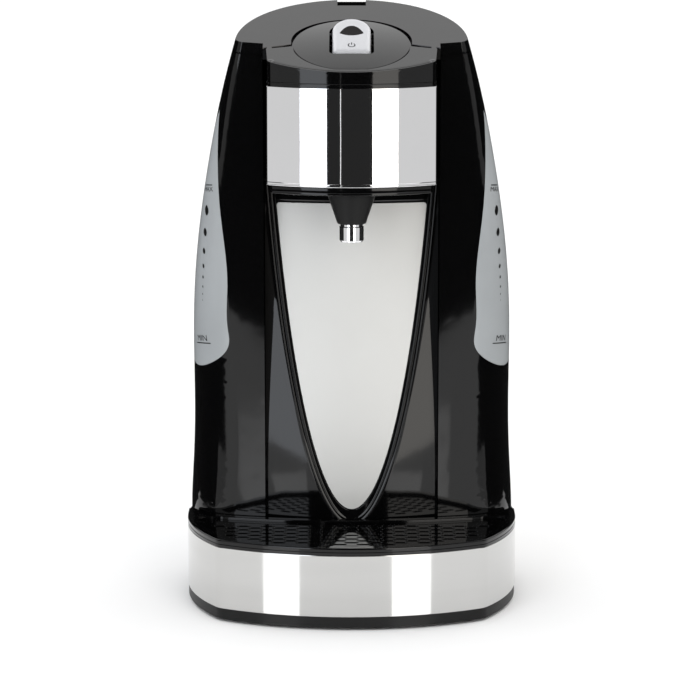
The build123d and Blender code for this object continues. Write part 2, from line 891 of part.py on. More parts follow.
# Slots of the grille, in staggered rows, wherever a whole slot fits
grille_inset = tray_basin_inset + tray_lip + slip
grille_back = tray_basin_back + tray_lip + slip
grille_horn_y = basin_horn_y - tray_lip - slip
slot_land = tray_face(grille_inset + slot_margin, grille_back + slot_margin, grille_horn_y - slot_margin).face()
slot_spots = []
for row in range(12):
    for column in range(-8, 9):
        x = slot_pitch_x * (column + 0.5 * (row % 2))
        y = slot_first_y + 0.5 * slot_pitch_y * row
        ends = [(x + 0.5 * slot_length * i, y + 0.5 * slot_width * j) for i in (-1, 1) for j in (-1, 1)]
        if all(slot_land.is_inside((end[0], end[1], 0)) for end in ends):
            slot_spots.append((x, y))

with BuildPart() as drip_grille:
    with BuildSketch(Plane.XY.offset(grille_bottom)):
        add(tray_face(grille_inset, grille_back, grille_horn_y))
        with Locations(*slot_spots):
            SlotOverall(slot_length, slot_width, mode=Mode.SUBTRACT)
    extrude(amount=grille_thickness)
drip_grille.part.label = "drip_grille"
export_step(drip_grille.part, "parts/drip_grille.step")

# ---------------------------------------------------------------- water tank
tank_hull = body_hull(body_wall + tank_clearance)
tank_room_hull = body_hull(body_wall + tank_clearance + tank_wall)

with BuildPart() as tank_room:
    add(tank_room_hull)
    with BuildSketch(Plane.XZ.offset(-tank_front - tank_wall)):
        Rectangle(2 * reach, 2 * reach)
    extrude(amount=reach, mode=Mode.SUBTRACT)
    with BuildSketch(Plane.XY.offset(tank_bottom + tank_floor)):
        Rectangle(reach, reach)
    extrude(amount=-reach, mode=Mode.SUBTRACT)

with BuildPart() as water_tank:
    add(tank_hull)
    with BuildSketch(Plane.XZ.offset(-tank_front)):
        Rectangle(2 * reach, 2 * reach)
    extrude(amount=reach, mode=Mode.SUBTRACT)
    with BuildSketch(Plane.XY.offset(tank_bottom)):
        Rectangle(reach, reach)
    extrude(amount=-reach, mode=Mode.SUBTRACT)
    add(tank_room.part, mode=Mode.SUBTRACT)
    cut_above_top(tank_drop)
    with BuildSketch(Plane.XY.offset(tank_bottom)):
        with Locations((0, outlet_y)):
            Circle(outlet_neck + running)
    extrude(amount=tank_floor, mode=Mode.SUBTRACT)
water_tank.part.label = "water_tank"
export_step(water_tank.part, "parts/water_tank.step")

with BuildPart() as tank_outlet:
    with BuildSketch(Plane.XY.offset(outlet_bottom)):
        with Locations((0, outlet_y)):
            Circle(outlet_neck)
    extrude(amount=tank_bottom + tank_floor + outlet_flange_thickness - outlet_bottom)
    with BuildSketch(Plane.XY.offset(tank_bottom + tank_floor)):
        with Locations((0, outlet_y)):
            Circle(outlet_flange)
    extrude(amount=outlet_flange_thickness)
    with BuildSketch(Plane.XY.offset(outlet_bottom)):
        with Locations((0, outlet_y)):
            Circle(outlet_bore)
    extrude(amount=reach, mode=Mode.SUBTRACT)
tank_outlet.part.label = "tank_outlet"
export_step(tank_outlet.part, "parts/tank_outlet.step")

with BuildPart() as outlet_seal:
    with BuildSketch(Plane.XY.offset(ring_seal_z)):
        with Locations((0, outlet_y)):
            Circle(chamber_inner - running)
            Circle(outlet_neck + running, mode=Mode.SUBTRACT)
    extrude(amount=ring_seal_height)
outlet_seal.part.label = "outlet_seal"
export_step(outlet_seal.part, "parts/outlet_seal.step")

# ---------------------------------------------------------------- boiler
def ear_face(outer):
    # disc about the boiler's axis, with three screw ears
    with BuildSketch(mode=Mode.PRIVATE) as disc:
        with Locations((0, boiler_y)):
            Circle(outer)
            with PolarLocations(0.5 * ear_ring, 3, start_angle=90):
                Rectangle(ear_ring, 2 * ear_radius)
        with Locations(*boiler_ears):
            Circle(ear_radius)
        with Locations(*boiler_ears):
            Circle(screw_radius + seat, mode=Mode.SUBTRACT)
    return disc.sketch


boiler_lid_z = boiler_rim_top + boiler_seal_thickness
float_z = boiler_lid_z + boiler_lid_thickness

with BuildPart() as boiler_cup:
    with BuildSketch(Plane.XY.offset(boiler_bottom)):
        with Locations((0, boiler_y)):
            Circle(boiler_radius)
    extrude(amount=boiler_rim_top - boiler_bottom)
    with BuildSketch(Plane.XY.offset(boiler_rim_top - boiler_wall)):
        add(ear_face(boiler_flange))
    extrude(amount=boiler_wall)
    with BuildSketch(Plane.XY.offset(boiler_bottom + boiler_wall)):
        with Locations((0, boiler_y)):
            Circle(boiler_radius - boiler_wall)
    extrude(amount=reach, mode=Mode.SUBTRACT)
boiler_cup.part.label = "boiler_cup"
export_step(boiler_cup.part, "parts/boiler_cup.step")

with BuildPart() as boiler_seal:
    with BuildSketch(Plane.XY.offset(boiler_rim_top)):
        with Locations((0, boiler_y)):
            Circle(boiler_flange)
            Circle(boiler_radius - boiler_wall, mode=Mode.SUBTRACT)
    extrude(amount=boiler_seal_thickness)
boiler_seal.part.label = "boiler_seal"
export_step(boiler_seal.part, "parts/boiler_seal.step")

with BuildPart() as boiler_lid:
    with BuildSketch(Plane.XY.offset(boiler_lid_z)):
        add(ear_face(boiler_flange))
    extrude(amount=boiler_lid_thickness)
    # chamber of the float valve
    with BuildSketch(Plane.XY.offset(float_z)):
        with Locations((0, outlet_y)):
            Circle(chamber_outer)
            Circle(chamber_inner, mode=Mode.SUBTRACT)
    extrude(amount=chamber_top - float_z)
    with BuildSketch(Plane.XY.offset(boiler_lid_z)):
        with Locations((0, outlet_y)):
            with PolarLocations(float_port_ring, 4):
                Circle(float_port_radius)
    extrude(amount=boiler_lid_thickness, mode=Mode.SUBTRACT)
    # hose port: socket along Y, water way turning down into the boiler
    with BuildSketch(Plane.XY.offset(float_z)):
        with Locations((0, port_y)):
            Rectangle(port_width, port_length)
    extrude(amount=port_top - float_z)
    with BuildSketch(Plane.XZ.offset(-hose_start_y)):
        with Locations((0, hose_low_z)):
            Circle(hose_radius + running)
    extrude(amount=port_length, mode=Mode.SUBTRACT)
    with BuildSketch(Plane.XY.offset(boiler_lid_z)):
        with Locations((0, hose_start_y + water_bore)):
            Circle(water_bore)
    extrude(amount=hose_low_z + water_bore - boiler_lid_z, mode=Mode.SUBTRACT)
boiler_lid.part.label = "boiler_lid"
export_step(boiler_lid.part, "parts/boiler_lid.step")

with BuildPart() as valve_float:
    with BuildSketch(Plane.XY.offset(float_z)):
        with Locations((0, outlet_y)):
            Circle(float_radius)
    extrude(amount=float_thickness)
valve_float.part.label = "valve_float"
export_step(valve_float.part, "parts/valve_float.step")

heater_top = boiler_bottom
element_top = heater_top - heater_plate_thickness

with BuildPart() as heater_plate:
    with BuildSketch(Plane.XY.offset(element_top)):
        with Locations((0, boiler_y)):
            Circle(heater_plate_radius)
    extrude(amount=heater_plate_thickness)
heater_plate.part.label = "heater_plate"
export_step(heater_plate.part, "parts/heater_plate.step")

with BuildPart() as heater_element:
    with BuildSketch(Plane.XZ.offset(-boiler_y)):
        with Locations((element_ring, element_top - 0.5 * element_height)):
            RectangleRounded(element_width, element_height, 1.5)
    revolve(axis=Axis((0, boiler_y, 0), (0, 0, 1)), revolution_arc=360 - element_gap_degrees)
heater_element.part.label = "heater_element"
export_step(heater_element.part, "parts/heater_element.step")

with BuildPart() as thermostat:
    with BuildSketch(Plane.XY.offset(element_top)):
        with Locations((0, boiler_y)):
            Circle(thermostat_radius)
    extrude(amount=-thermostat_height)
thermostat.part.label = "thermostat"
export_step(thermostat.part, "parts/thermostat.step")

with BuildPart() as thermal_cutout:
    with BuildSketch(Plane.XY.offset(element_top)):
        with Locations((2 * thermostat_radius, boiler_y)):
            Rectangle(cutout_width, cutout_length)
    extrude(amount=-cutout_height)
thermal_cutout.part.label = "thermal_cutout"
export_step(thermal_cutout.part, "parts/thermal_cutout.step")

with BuildPart() as riser_hose:
    with BuildLine():
        FilletPolyline(
            (0, hose_start_y, hose_low_z),
            (0, hose_y, hose_low_z),
            (0, hose_y, hose_high_z),
            (0, spout_y, hose_high_z),
            (0, spout_y, hose_socket_bottom),
            radius=(hose_bend_low, hose_bend_high, hose_bend_front),
        )
    with BuildSketch(Plane.XZ.offset(-hose_start_y)):
        with Locations((0, hose_low_z)):
            Circle(hose_radius)
            Circle(hose_bore, mode=Mode.SUBTRACT)
    sweep()
riser_hose.part.label = "riser_hose"
export_step(riser_hose.part, "parts/riser_hose.step")

# ---------------------------------------------------------------- head between the pillars
head_wall_radius = shell_wall_outer + seat
housing_inset = drum_thickness + seat

with BuildPart() as drum_band:
    with BuildSketch(Plane.XY.offset(drum_bottom)):
        add(head_face())
        add(head_face(drum_thickness), mode=Mode.SUBTRACT)
    extrude(amount=drum_top - drum_bottom)
    cut_behind_wall(head_wall_radius)
drum_band.part.label = "drum_band"
export_step(drum_band.part, "parts/drum_band.step")

with BuildPart() as drum_ring:
    with BuildSketch(Plane.XY.offset(ring_bottom)):
        add(head_face(ring_inset))
        with Locations((0, spout_y)):
            Circle(spigot_radius + running, mode=Mode.SUBTRACT)
    extrude(amount=drum_bottom - ring_bottom)
    cut_behind_wall(head_wall_radius)
drum_ring.part.label = "drum_ring"
export_step(drum_ring.part, "parts/drum_ring.step")

with BuildPart() as housing_room:
    with BuildSketch(Plane.XY.offset(drum_bottom + housing_floor)):
        add(head_face(housing_inset + housing_wall))
    extrude(amount=drum_top - drum_bottom - housing_floor)
    cut_behind_wall(head_wall_radius + housing_wall)

with BuildPart() as head_housing:
    with BuildSketch(Plane.XY.offset(drum_bottom)):
        add(head_face(housing_inset))
    extrude(amount=drum_top - drum_bottom)
    cut_behind_wall(head_wall_radius)
    add(housing_room.part, mode=Mode.SUBTRACT)
    # bosses for the head screws on the rear wall
    with BuildSketch(Plane.XZ.offset(-head_boss_y)):
        with Locations(*head_screw_spots):
            Circle(post_radius)
    extrude(amount=-head_boss_length)
    # shelf for the switch and bridge for the push rod, from wall to wall
    with BuildSketch(Plane.XY.offset(shelf_bottom)):
        add(head_face(housing_inset + 0.5 * housing_wall, shelf_rear))
        with Locations((0, shelf_front)):
            Rectangle(reach, reach, align=(Align.CENTER, Align.MAX), mode=Mode.SUBTRACT)
    extrude(amount=shelf_thickness)
    with BuildSketch(Plane.XY.offset(bridge_bottom)):
        add(head_face(housing_inset + 0.5 * housing_wall, bridge_rear))
        with Locations((0, bridge_front)):
            Rectangle(reach, reach, align=(Align.CENTER, Align.MAX), mode=Mode.SUBTRACT)
    extrude(amount=bridge_thickness)
    with BuildSketch(Plane.XY.offset(bridge_bottom)):
        with Locations((0, stem_y)):
            Circle(guide_radius)
    extrude(amount=guide_top - bridge_bottom)
    with BuildSketch(Plane.XY.offset(bridge_bottom)):
        with Locations((0, stem_y)):
            Circle(rod_radius + running)
        with Locations(*cap_posts):
            Circle(screw_radius + seat)
    extrude(amount=reach, mode=Mode.SUBTRACT)
    # holes for the spout, the hose and the head screws
    with BuildSketch(Plane.XY.offset(drum_bottom)):
        with Locations((0, spout_y)):
            Circle(spigot_radius + running)
    extrude(amount=housing_floor, mode=Mode.SUBTRACT)
    with BuildSketch(Plane.XZ.offset(-bridge_rear)):
        with Locations((0, hose_high_z)):
            Circle(hose_hole)
        with Locations(*head_screw_spots):
            Circle(screw_radius + running)
    extrude(amount=bridge_rear, mode=Mode.SUBTRACT)
head_housing.part.label = "head_housing"
export_step(head_housing.part, "parts/head_housing.step")

# ---------------------------------------------------------------- cap with its disc
def cap_zone(grow):
    # what the cap covers seen from above: the disc, and all in front of the slanting seams
    slant = (seam_disc_y - seam_side_y) / (seam_side_x - disc_radius)
    with BuildSketch(mode=Mode.PRIVATE) as zone:
        with BuildLine():
            Polyline(
                (disc_radius - 2, seam_disc_y + 2 * slant + grow),
                (2 * disc_radius, seam_disc_y - slant * disc_radius + grow),
                (2 * disc_radius, -reach),
                (-2 * disc_radius, -reach),
                (-2 * disc_radius, seam_disc_y - slant * disc_radius + grow),
                (2 - disc_radius, seam_disc_y + 2 * slant + grow),
                close=True,
            )
        make_face()
        with Locations((0, disc_y)):
            Circle(disc_radius + grow)
    return zone.sketch


def button_face(grow):
    # outline of the button from above, squared in front and round behind
    half = button_half_width + grow
    with BuildSketch(mode=Mode.PRIVATE) as tongue:
        with BuildLine():
            Polyline(
                (-half, button_rear - button_half_width),
                (-half, button_front - grow),
                (half, button_front - grow),
                (half, button_rear - button_half_width),
            )
            RadiusArc((half, button_rear - button_half_width), (-half, button_rear - button_half_width), -half)
        make_face()
        fillet(tongue.vertices().sort_by(Axis.Y)[:2], button_front_round)
    return tongue.sketch


hinge_z = top_z(hinge_y, hinge_depth)
pivot_z = top_z(pivot_y, pivot_depth)
relief_side = sqrt((seam_side_y - hinge_y) ** 2 + hinge_depth**2) + hinge_relief
relief_disc = sqrt((seam_disc_y - hinge_y) ** 2 + hinge_depth**2) + hinge_relief

# Room above the cap for the lid's front edge
with BuildPart() as lid_room:
    with BuildSketch(Plane.XY.offset(drum_top)):
        Rectangle(reach, reach)
        add(cap_zone(0), mode=Mode.SUBTRACT)
    extrude(amount=reach)
    cut_below_top(shell_drop)

# Turned room round the hinge axis for the lid's two front tongues
with BuildPart() as hinge_room:
    with BuildSketch(Plane.XY.offset(hinge_z)):
        with BuildLine():
            Polyline(
                (disc_radius - 1, hinge_y),
                (disc_radius - 1, hinge_y + relief_disc),
                (seam_side_x, hinge_y + relief_side),
                (2 * disc_radius, hinge_y + relief_side),
                (2 * disc_radius, hinge_y),
                close=True,
            )
        make_face()
    revolve(axis=Axis((0, hinge_y, hinge_z), (1, 0, 0)))
    mirror(about=Plane.YZ)

# Hollow of the cap, open below
with BuildPart() as cap_room:
    with BuildSketch(Plane.XY.offset(drum_top)):
        add(head_face(cap_wall))
    extrude(amount=reach)
    cut_above_top(shell_drop + cap_skin)
    cut_behind_wall(head_wall_radius + cap_wall)

# Wall and floor of the button's deep pocket, which hang into that hollow
with BuildPart() as pocket_block:
    with BuildSketch(Plane.XY.offset(drum_top)):
        add(button_face(button_gap + pocket_floor))
        with Locations((0, heel_y + pocket_floor)):
            Rectangle(reach, reach, align=(Align.CENTER, Align.MIN), mode=Mode.SUBTRACT)
    extrude(amount=reach)
    cut_below_top(pocket_depth + pocket_floor)
    cut_above_top(lid_thickness)

with BuildPart() as deep_pocket:
    with BuildSketch(Plane.XY.offset(drum_top)):
        add(button_face(button_gap))
        with Locations((0, heel_y)):
            Rectangle(reach, reach, align=(Align.CENTER, Align.MIN), mode=Mode.SUBTRACT)
    extrude(amount=reach)
    cut_below_top(pocket_depth)

with BuildPart() as heel_pocket:
    with BuildSketch(Plane.XY.offset(drum_top)):
        add(button_face(button_gap))
    extrude(amount=reach)
    cut_below_top(heel_pocket_depth)

dome_radius = (disc_radius**2 + dome_rise**2) / (2 * dome_rise)
dome_centre = Vector(0, disc_y, top_z(disc_y)) + top_plane.z_dir * (dome_rise - dome_radius)

with BuildPart() as disc_dome:
    with Locations(dome_centre):
        Sphere(dome_radius)
    with BuildSketch(Plane.XY):
        with Locations((0, disc_y)):
            Circle(disc_radius - disc_groove_width)
    extrude(amount=reach, mode=Mode.INTERSECT)
    cut_below_top(lid_thickness)

with BuildPart() as disc_slab:
    with BuildSketch(Plane.XY):
        with Locations((0, disc_y)):
            Circle(disc_radius)
    extrude(amount=reach)
    cut_above_top(0)
    cut_below_top(lid_thickness)

# Sunk level round the dome, which leaves the groove
with BuildPart() as disc_sink:
    with BuildSketch(Plane.XY):
        with Locations((0, disc_y)):
            Circle(disc_radius)
    extrude(amount=reach)
    cut_below_top(disc_groove_depth)

with BuildPart() as drum_cap:
    with BuildSketch(Plane.XY.offset(drum_top)):
        add(head_face())
    extrude(amount=reach)
    cut_above_top(0)
    cut_behind_wall(head_wall_radius)
    add(lid_room.part, mode=Mode.SUBTRACT)
    add(cap_room.part, mode=Mode.SUBTRACT)
    add(hinge_room.part, mode=Mode.SUBTRACT)
    add(disc_slab.part)
    add(disc_sink.part, mode=Mode.SUBTRACT)
    add(disc_dome.part)
    add(pocket_block.part)
    add(deep_pocket.part, mode=Mode.SUBTRACT)
    add(heel_pocket.part, mode=Mode.SUBTRACT)
    # screw posts, stem hole, light hole, and the holes of both hinge pins and of the button's pin
    with BuildSketch(Plane.XY.offset(bridge_bottom + bridge_thickness)):
        with Locations(*cap_posts):
            Circle(post_radius)
    extrude(amount=cap_post_top - bridge_bottom - bridge_thickness)
    with BuildSketch(Plane.XY.offset(bridge_bottom + bridge_thickness)):
        with Locations(*cap_posts):
            Circle(screw_radius + running)
    extrude(amount=screw_length, mode=Mode.SUBTRACT)
    with BuildSketch(Plane.XY.offset(drum_top)):
        with Locations((0, stem_y)):
            Circle(stem_hole)
        with Locations((0, lamp_y)):
            Circle(lamp_radius + slip)
    extrude(amount=reach, mode=Mode.SUBTRACT)
    with BuildSketch(Plane.YZ.offset(-hinge_pin_outer)):
        with Locations((hinge_y, hinge_z)):
            Circle(hinge_pin_radius + running)
    extrude(amount=hinge_pin_outer - hinge_pin_inner, mode=Mode.SUBTRACT)
    with BuildSketch(Plane.YZ.offset(hinge_pin_inner)):
        with Locations((hinge_y, hinge_z)):
            Circle(hinge_pin_radius + running)
    extrude(amount=hinge_pin_outer - hinge_pin_inner, mode=Mode.SUBTRACT)
    with BuildSketch(Plane.YZ.offset(-pivot_half_length)):
        with Locations((pivot_y, pivot_z)):
            Circle(pivot_radius + running)
    extrude(amount=2 * pivot_half_length, mode=Mode.SUBTRACT)
drum_cap.part.label = "drum_cap"
export_step(drum_cap.part, "parts/drum_cap.step")

# ---------------------------------------------------------------- lid of the tank
with BuildPart() as lid_notch:
    with BuildSketch(Plane.XY):
        with Locations((0, notch_front_y)):
            Rectangle(2 * notch_half_width, reach, align=(Align.CENTER, Align.MIN))
    extrude(amount=reach)
    cut_below_top(notch_depth)

# Slanting undercut behind the disc, so that the lid can swing up past it
undercut_top = top_z(disc_y + disc_radius)

with BuildPart() as lid_undercut_room:
    with BuildSketch(Plane.XY.offset(undercut_top)):
        with Locations((0, disc_y)):
            Circle(disc_radius + seam_gap)
    extrude(amount=undercut_depth, dir=(0, lid_undercut, -1))

with BuildPart() as tank_lid:
    add(outer_hull)
    with BuildSketch(Plane.XY.offset(drum_top)):
        with Locations((0, hinge_y)):
            Rectangle(2 * (channel_half - slip), 4 * hinge_barrel)
    extrude(amount=body_top - drum_top)
    cut_above_top(0)
    cut_below_top(lid_thickness)
    with BuildSketch(Plane.XY):
        add(cap_zone(seam_gap))
    extrude(amount=reach, mode=Mode.SUBTRACT)
    add(lid_undercut_room.part, mode=Mode.SUBTRACT)
    add(lid_notch.part, mode=Mode.SUBTRACT)
    with BuildSketch(Plane.YZ.offset(-barrel_outer)):
        with Locations((hinge_y, hinge_z)):
            Circle(hinge_barrel)
    extrude(amount=barrel_outer - barrel_inner)
    with BuildSketch(Plane.YZ.offset(barrel_inner)):
        with Locations((hinge_y, hinge_z)):
            Circle(hinge_barrel)
    extrude(amount=barrel_outer - barrel_inner)
    with BuildSketch(Plane.YZ.offset(-hinge_pin_outer - seat)):
        with Locations((hinge_y, hinge_z)):
            Circle(hinge_pin_radius + running)
    extrude(amount=hinge_pin_outer + seat - disc_radius, mode=Mode.SUBTRACT)
    with BuildSketch(Plane.YZ.offset(disc_radius)):
        with Locations((hinge_y, hinge_z)):
            Circle(hinge_pin_radius + running)
    extrude(amount=hinge_pin_outer + seat - disc_radius, mode=Mode.SUBTRACT)
tank_lid.part.label = "tank_lid"
export_step(tank_lid.part, "parts/tank_lid.step")

with BuildPart() as seal_room:
    add(tank_room_hull)
    with BuildSketch(Plane.XZ.offset(-seal_front_y - seal_width)):
        Rectangle(2 * reach, 2 * reach)
    extrude(amount=reach, mode=Mode.SUBTRACT)

with BuildPart() as lid_seal:
    add(tank_hull)
    with BuildSketch(Plane.XZ.offset(-seal_front_y)):
        Rectangle(2 * reach, 2 * reach)
    extrude(amount=reach, mode=Mode.SUBTRACT)
    cut_above_top(lid_thickness)
    cut_below_top(tank_drop - seal_gap)
    add(seal_room.part, mode=Mode.SUBTRACT)
lid_seal.part.label = "lid_seal"
export_step(lid_seal.part, "parts/lid_seal.step")

with BuildPart() as hinge_pins:
    with BuildSketch(Plane.YZ.offset(-hinge_pin_outer)):
        with Locations((hinge_y, hinge_z)):
            Circle(hinge_pin_radius)
    extrude(amount=hinge_pin_outer - hinge_pin_inner)
    with BuildSketch(Plane.YZ.offset(hinge_pin_inner)):
        with Locations((hinge_y, hinge_z)):
            Circle(hinge_pin_radius)
    extrude(amount=hinge_pin_outer - hinge_pin_inner)
hinge_pins.part.label = "hinge_pins"
export_step(hinge_pins.part, "parts/hinge_pins.step")

# ---------------------------------------------------------------- button
button_front_z = top_z(button_front, -button_low)
button_rear_z = top_z(button_rear, -button_high)
button_slope = (button_rear_z - button_front_z) / (button_rear - button_front)
button_top = Plane(origin=(0, button_front, button_front_z), x_dir=(1, 0, 0), z_dir=(0, -button_slope, 1))


def lens_face(shrink):
    # eye shape with a flat lower side
    half = lens_half_width - shrink
    with BuildSketch(mode=Mode.PRIVATE) as eye:
        with BuildLine():
            ThreePointArc((-half, lens_corner_y), (0, lens_y_low + shrink), (half, lens_corner_y))
            ThreePointArc((half, lens_corner_y), (0, lens_y_high - shrink), (-half, lens_corner_y))
        make_face()
    return eye.sketch


with BuildPart() as skirt_room:
    with BuildSketch(Plane.XY.offset(drum_top)):
        add(button_face(-button_wall))
        with Locations((0, heel_y - heel_gap - button_wall)):
            Rectangle(reach, reach, align=(Align.CENTER, Align.MIN), mode=Mode.SUBTRACT)
    extrude(amount=reach)
    cut_above_top(button_wall - button_low)

with BuildPart() as heel_room:
    with BuildSketch(Plane.XY.offset(drum_top)):
        with Locations((0, heel_y - heel_gap)):
            Rectangle(reach, reach, align=(Align.CENTER, Align.MIN))
    extrude(amount=reach)
    cut_above_top(button_heel_depth)

with BuildPart() as lens_seat:
    with BuildSketch(Plane.XY.offset(drum_top)):
        add(lens_face(0))
    extrude(amount=reach)
    cut_below(button_top.offset(-lens_depth))

with BuildPart() as button:
    with BuildSketch(Plane.XY.offset(drum_top)):
        add(button_face(0))
    extrude(amount=reach)
    cut_above(button_top)
    fillet(button.faces().sort_by(Axis.Z)[-1].edges(), button_edge)
    cut_below_top(button_depth)
    add(skirt_room.part, mode=Mode.SUBTRACT)
    add(heel_room.part, mode=Mode.SUBTRACT)
    add(lens_seat.part, mode=Mode.SUBTRACT)
    with BuildSketch(Plane.XY.offset(stem_bottom)):
        with Locations((0, stem_y)):
            Circle(stem_radius)
    extrude(amount=stem_top - stem_bottom)
    # light hole and hole of the pin
    with BuildSketch(Plane.XY.offset(drum_top)):
        with Locations((0, lamp_y)):
            Circle(light_hole)
    extrude(amount=reach, mode=Mode.SUBTRACT)
    with BuildSketch(Plane.YZ.offset(-pivot_half_length)):
        with Locations((pivot_y, pivot_z)):
            Circle(pivot_radius + running)
    extrude(amount=2 * pivot_half_length, mode=Mode.SUBTRACT)
button.part.label = "button"
export_step(button.part, "parts/button.step")

with BuildPart() as button_lens:
    with BuildSketch(Plane.XY.offset(drum_top)):
        add(lens_face(seat))
    extrude(amount=reach)
    cut_above(button_top)
    cut_below(button_top.offset(-lens_depth))
button_lens.part.label = "button_lens"
export_step(button_lens.part, "parts/button_lens.step")

with BuildPart() as button_pin:
    with BuildSketch(Plane.YZ.offset(-pivot_half_length)):
        with Locations((pivot_y, pivot_z)):
            Circle(pivot_radius)
    extrude(amount=2 * pivot_half_length)
button_pin.part.label = "button_pin"
export_step(button_pin.part, "parts/button_pin.step")

rod_top = stem_bottom - rod_gap
flange_bottom = rod_top - rod_flange_thickness

with BuildPart() as push_rod:
    with BuildSketch(Plane.XY.offset(rod_bottom)):
        with Locations((0, stem_y)):
            Circle(rod_radius)
    extrude(amount=rod_top - rod_bottom)
    with BuildSketch(Plane.XY.offset(flange_bottom)):
        with Locations((0, stem_y)):
            Circle(rod_flange_radius)
    extrude(amount=rod_flange_thickness)
push_rod.part.label = "push_rod"
export_step(push_rod.part, "parts/push_rod.step")

spring_height = flange_bottom - guide_top - 2 * spring_wire_radius

with BuildPart() as button_spring:
    with BuildLine(Plane.XY.offset(guide_top + spring_wire_radius)) as coil:
        Helix(spring_height / spring_turns, spring_height, spring_radius, center=(0, stem_y, 0))
    with BuildSketch(Plane(coil.line @ 0, z_dir=coil.line % 0)):
        Circle(spring_wire_radius)
    sweep()
button_spring.part.label = "button_spring"
export_step(button_spring.part, "parts/button_spring.step")

with BuildPart() as switch_plunger:
    with BuildSketch(Plane.XY.offset(plunger_bottom)):
        with Locations((0, stem_y)):
            Circle(plunger_radius)
    extrude(amount=rod_bottom - plunger_bottom)
switch_plunger.part.label = "switch_plunger"
export_step(switch_plunger.part, "parts/switch_plunger.step")

with BuildPart() as micro_switch:
    with BuildSketch(Plane.XY.offset(shelf_bottom + shelf_thickness)):
        with Locations((0, stem_y)):
            Rectangle(switch_length, switch_width)
    extrude(amount=switch_top - shelf_bottom - shelf_thickness)
    with BuildSketch(Plane.XY.offset(plunger_bore_bottom)):
        with Locations((0, stem_y)):
            Circle(plunger_radius + running)
    extrude(amount=reach, mode=Mode.SUBTRACT)
micro_switch.part.label = "micro_switch"
export_step(micro_switch.part, "parts/micro_switch.step")

lamp_board_z = bridge_bottom + bridge_thickness

with BuildPart() as lamp_board:
    with BuildSketch(Plane.XY.offset(lamp_board_z)):
        with Locations((0, lamp_y)):
            Rectangle(lamp_board_length, lamp_board_width)
    extrude(amount=lamp_board_thickness)
lamp_board.part.label = "lamp_board"
export_step(lamp_board.part, "parts/lamp_board.step")

with BuildPart() as indicator_lamp:
    with BuildSketch(Plane.XY.offset(lamp_board_z + lamp_board_thickness)):
        with Locations((0, lamp_y)):
            Circle(lamp_radius)
    extrude(amount=lamp_height)
    fillet(indicator_lamp.faces().sort_by(Axis.Z)[-1].edges(), lamp_radius - 0.1)
indicator_lamp.part.label = "indicator_lamp"
export_step(indicator_lamp.part, "parts/indicator_lamp.step")

# ---------------------------------------------------------------- spout
with BuildPart() as spout_cone:
    with BuildSketch(Plane.XZ.offset(-spout_y)):
        with BuildLine():
            Polyline(
                (0, cone_bottom),
                (cone_bottom_radius, cone_bottom),
                (cone_top_radius, ring_bottom),
                (spigot_radius, ring_bottom),
                (spigot_radius, spigot_top),
                (0, spigot_top),
                close=True,
            )
        make_face()
    revolve(axis=Axis((0, spout_y, 0), (0, 0, 1)))
    with BuildSketch(Plane.XY.offset(hose_socket_bottom)):
        with Locations((0, spout_y)):
            Circle(hose_radius + running)
    extrude(amount=reach, mode=Mode.SUBTRACT)
    with BuildSketch(Plane.XY.offset(cone_bottom)):
        with Locations((0, spout_y)):
            Circle(nozzle_neck_radius + running)
    extrude(amount=nozzle_neck_top - cone_bottom, mode=Mode.SUBTRACT)
    with BuildSketch(Plane.XY.offset(cone_bottom)):
        with Locations((0, spout_y)):
            Circle(water_bore)
    extrude(amount=reach, mode=Mode.SUBTRACT)
spout_cone.part.label = "spout_cone"
export_step(spout_cone.part, "parts/spout_cone.step")

with BuildPart() as spout_nozzle:
    with BuildSketch(Plane.XY.offset(nozzle_bottom)):
        with Locations((0, spout_y)):
            Circle(nozzle_radius)
    extrude(amount=cone_bottom - nozzle_bottom)
    with BuildSketch(Plane.XY.offset(cone_bottom)):
        with Locations((0, spout_y)):
            Circle(nozzle_neck_radius)
    extrude(amount=nozzle_neck_top - cone_bottom)
    with BuildSketch(Plane.XY.offset(nozzle_bottom)):
        with Locations((0, spout_y)):
            Circle(nozzle_bore)
    extrude(amount=reach, mode=Mode.SUBTRACT)
spout_nozzle.part.label = "spout_nozzle"
export_step(spout_nozzle.part, "parts/spout_nozzle.step")

with BuildPart() as spout_nut:
    with BuildSketch(Plane.XY.offset(drum_bottom + housing_floor)):
        with Locations((0, spout_y)):
            RegularPolygon(nut_radius, 6)
            Circle(spigot_radius + running, mode=Mode.SUBTRACT)
    extrude(amount=nut_height)
spout_nut.part.label = "spout_nut"
export_step(spout_nut.part, "parts/spout_nut.step")

# ---------------------------------------------------------------- electrics in the base
with BuildPart() as control_board:
    with BuildSketch(Plane.XY.offset(board_z)):
        with Locations((board_x, board_y)):
            Rectangle(board_length, board_width)
    extrude(amount=board_thickness)
control_board.part.label = "control_board"
export_step(control_board.part, "parts/control_board.step")

with BuildPart() as relay:
    with BuildSketch(Plane.XY.offset(board_z + board_thickness)):
        with Locations((board_x - relay_shift, board_y)):
            RectangleRounded(relay_length, relay_width, 1.0)
    extrude(amount=relay_height)
relay.part.label = "relay"
export_step(relay.part, "parts/relay.step")

with BuildPart() as terminal_block:
    with BuildSketch(Plane.XY.offset(plate_bottom + plate_floor)):
        with Locations((terminal_x, terminal_y)):
            Rectangle(terminal_length, terminal_width)
    extrude(amount=terminal_height)
    with BuildSketch(Plane.XY.offset(plate_bottom + plate_floor + terminal_height)):
        with Locations((terminal_x, terminal_y)):
            with GridLocations(terminal_length / 3, 1, 3, 1):
                Circle(screw_radius)
    extrude(amount=-terminal_height / 2, mode=Mode.SUBTRACT)
terminal_block.part.label = "terminal_block"
export_step(terminal_block.part, "parts/terminal_block.step")


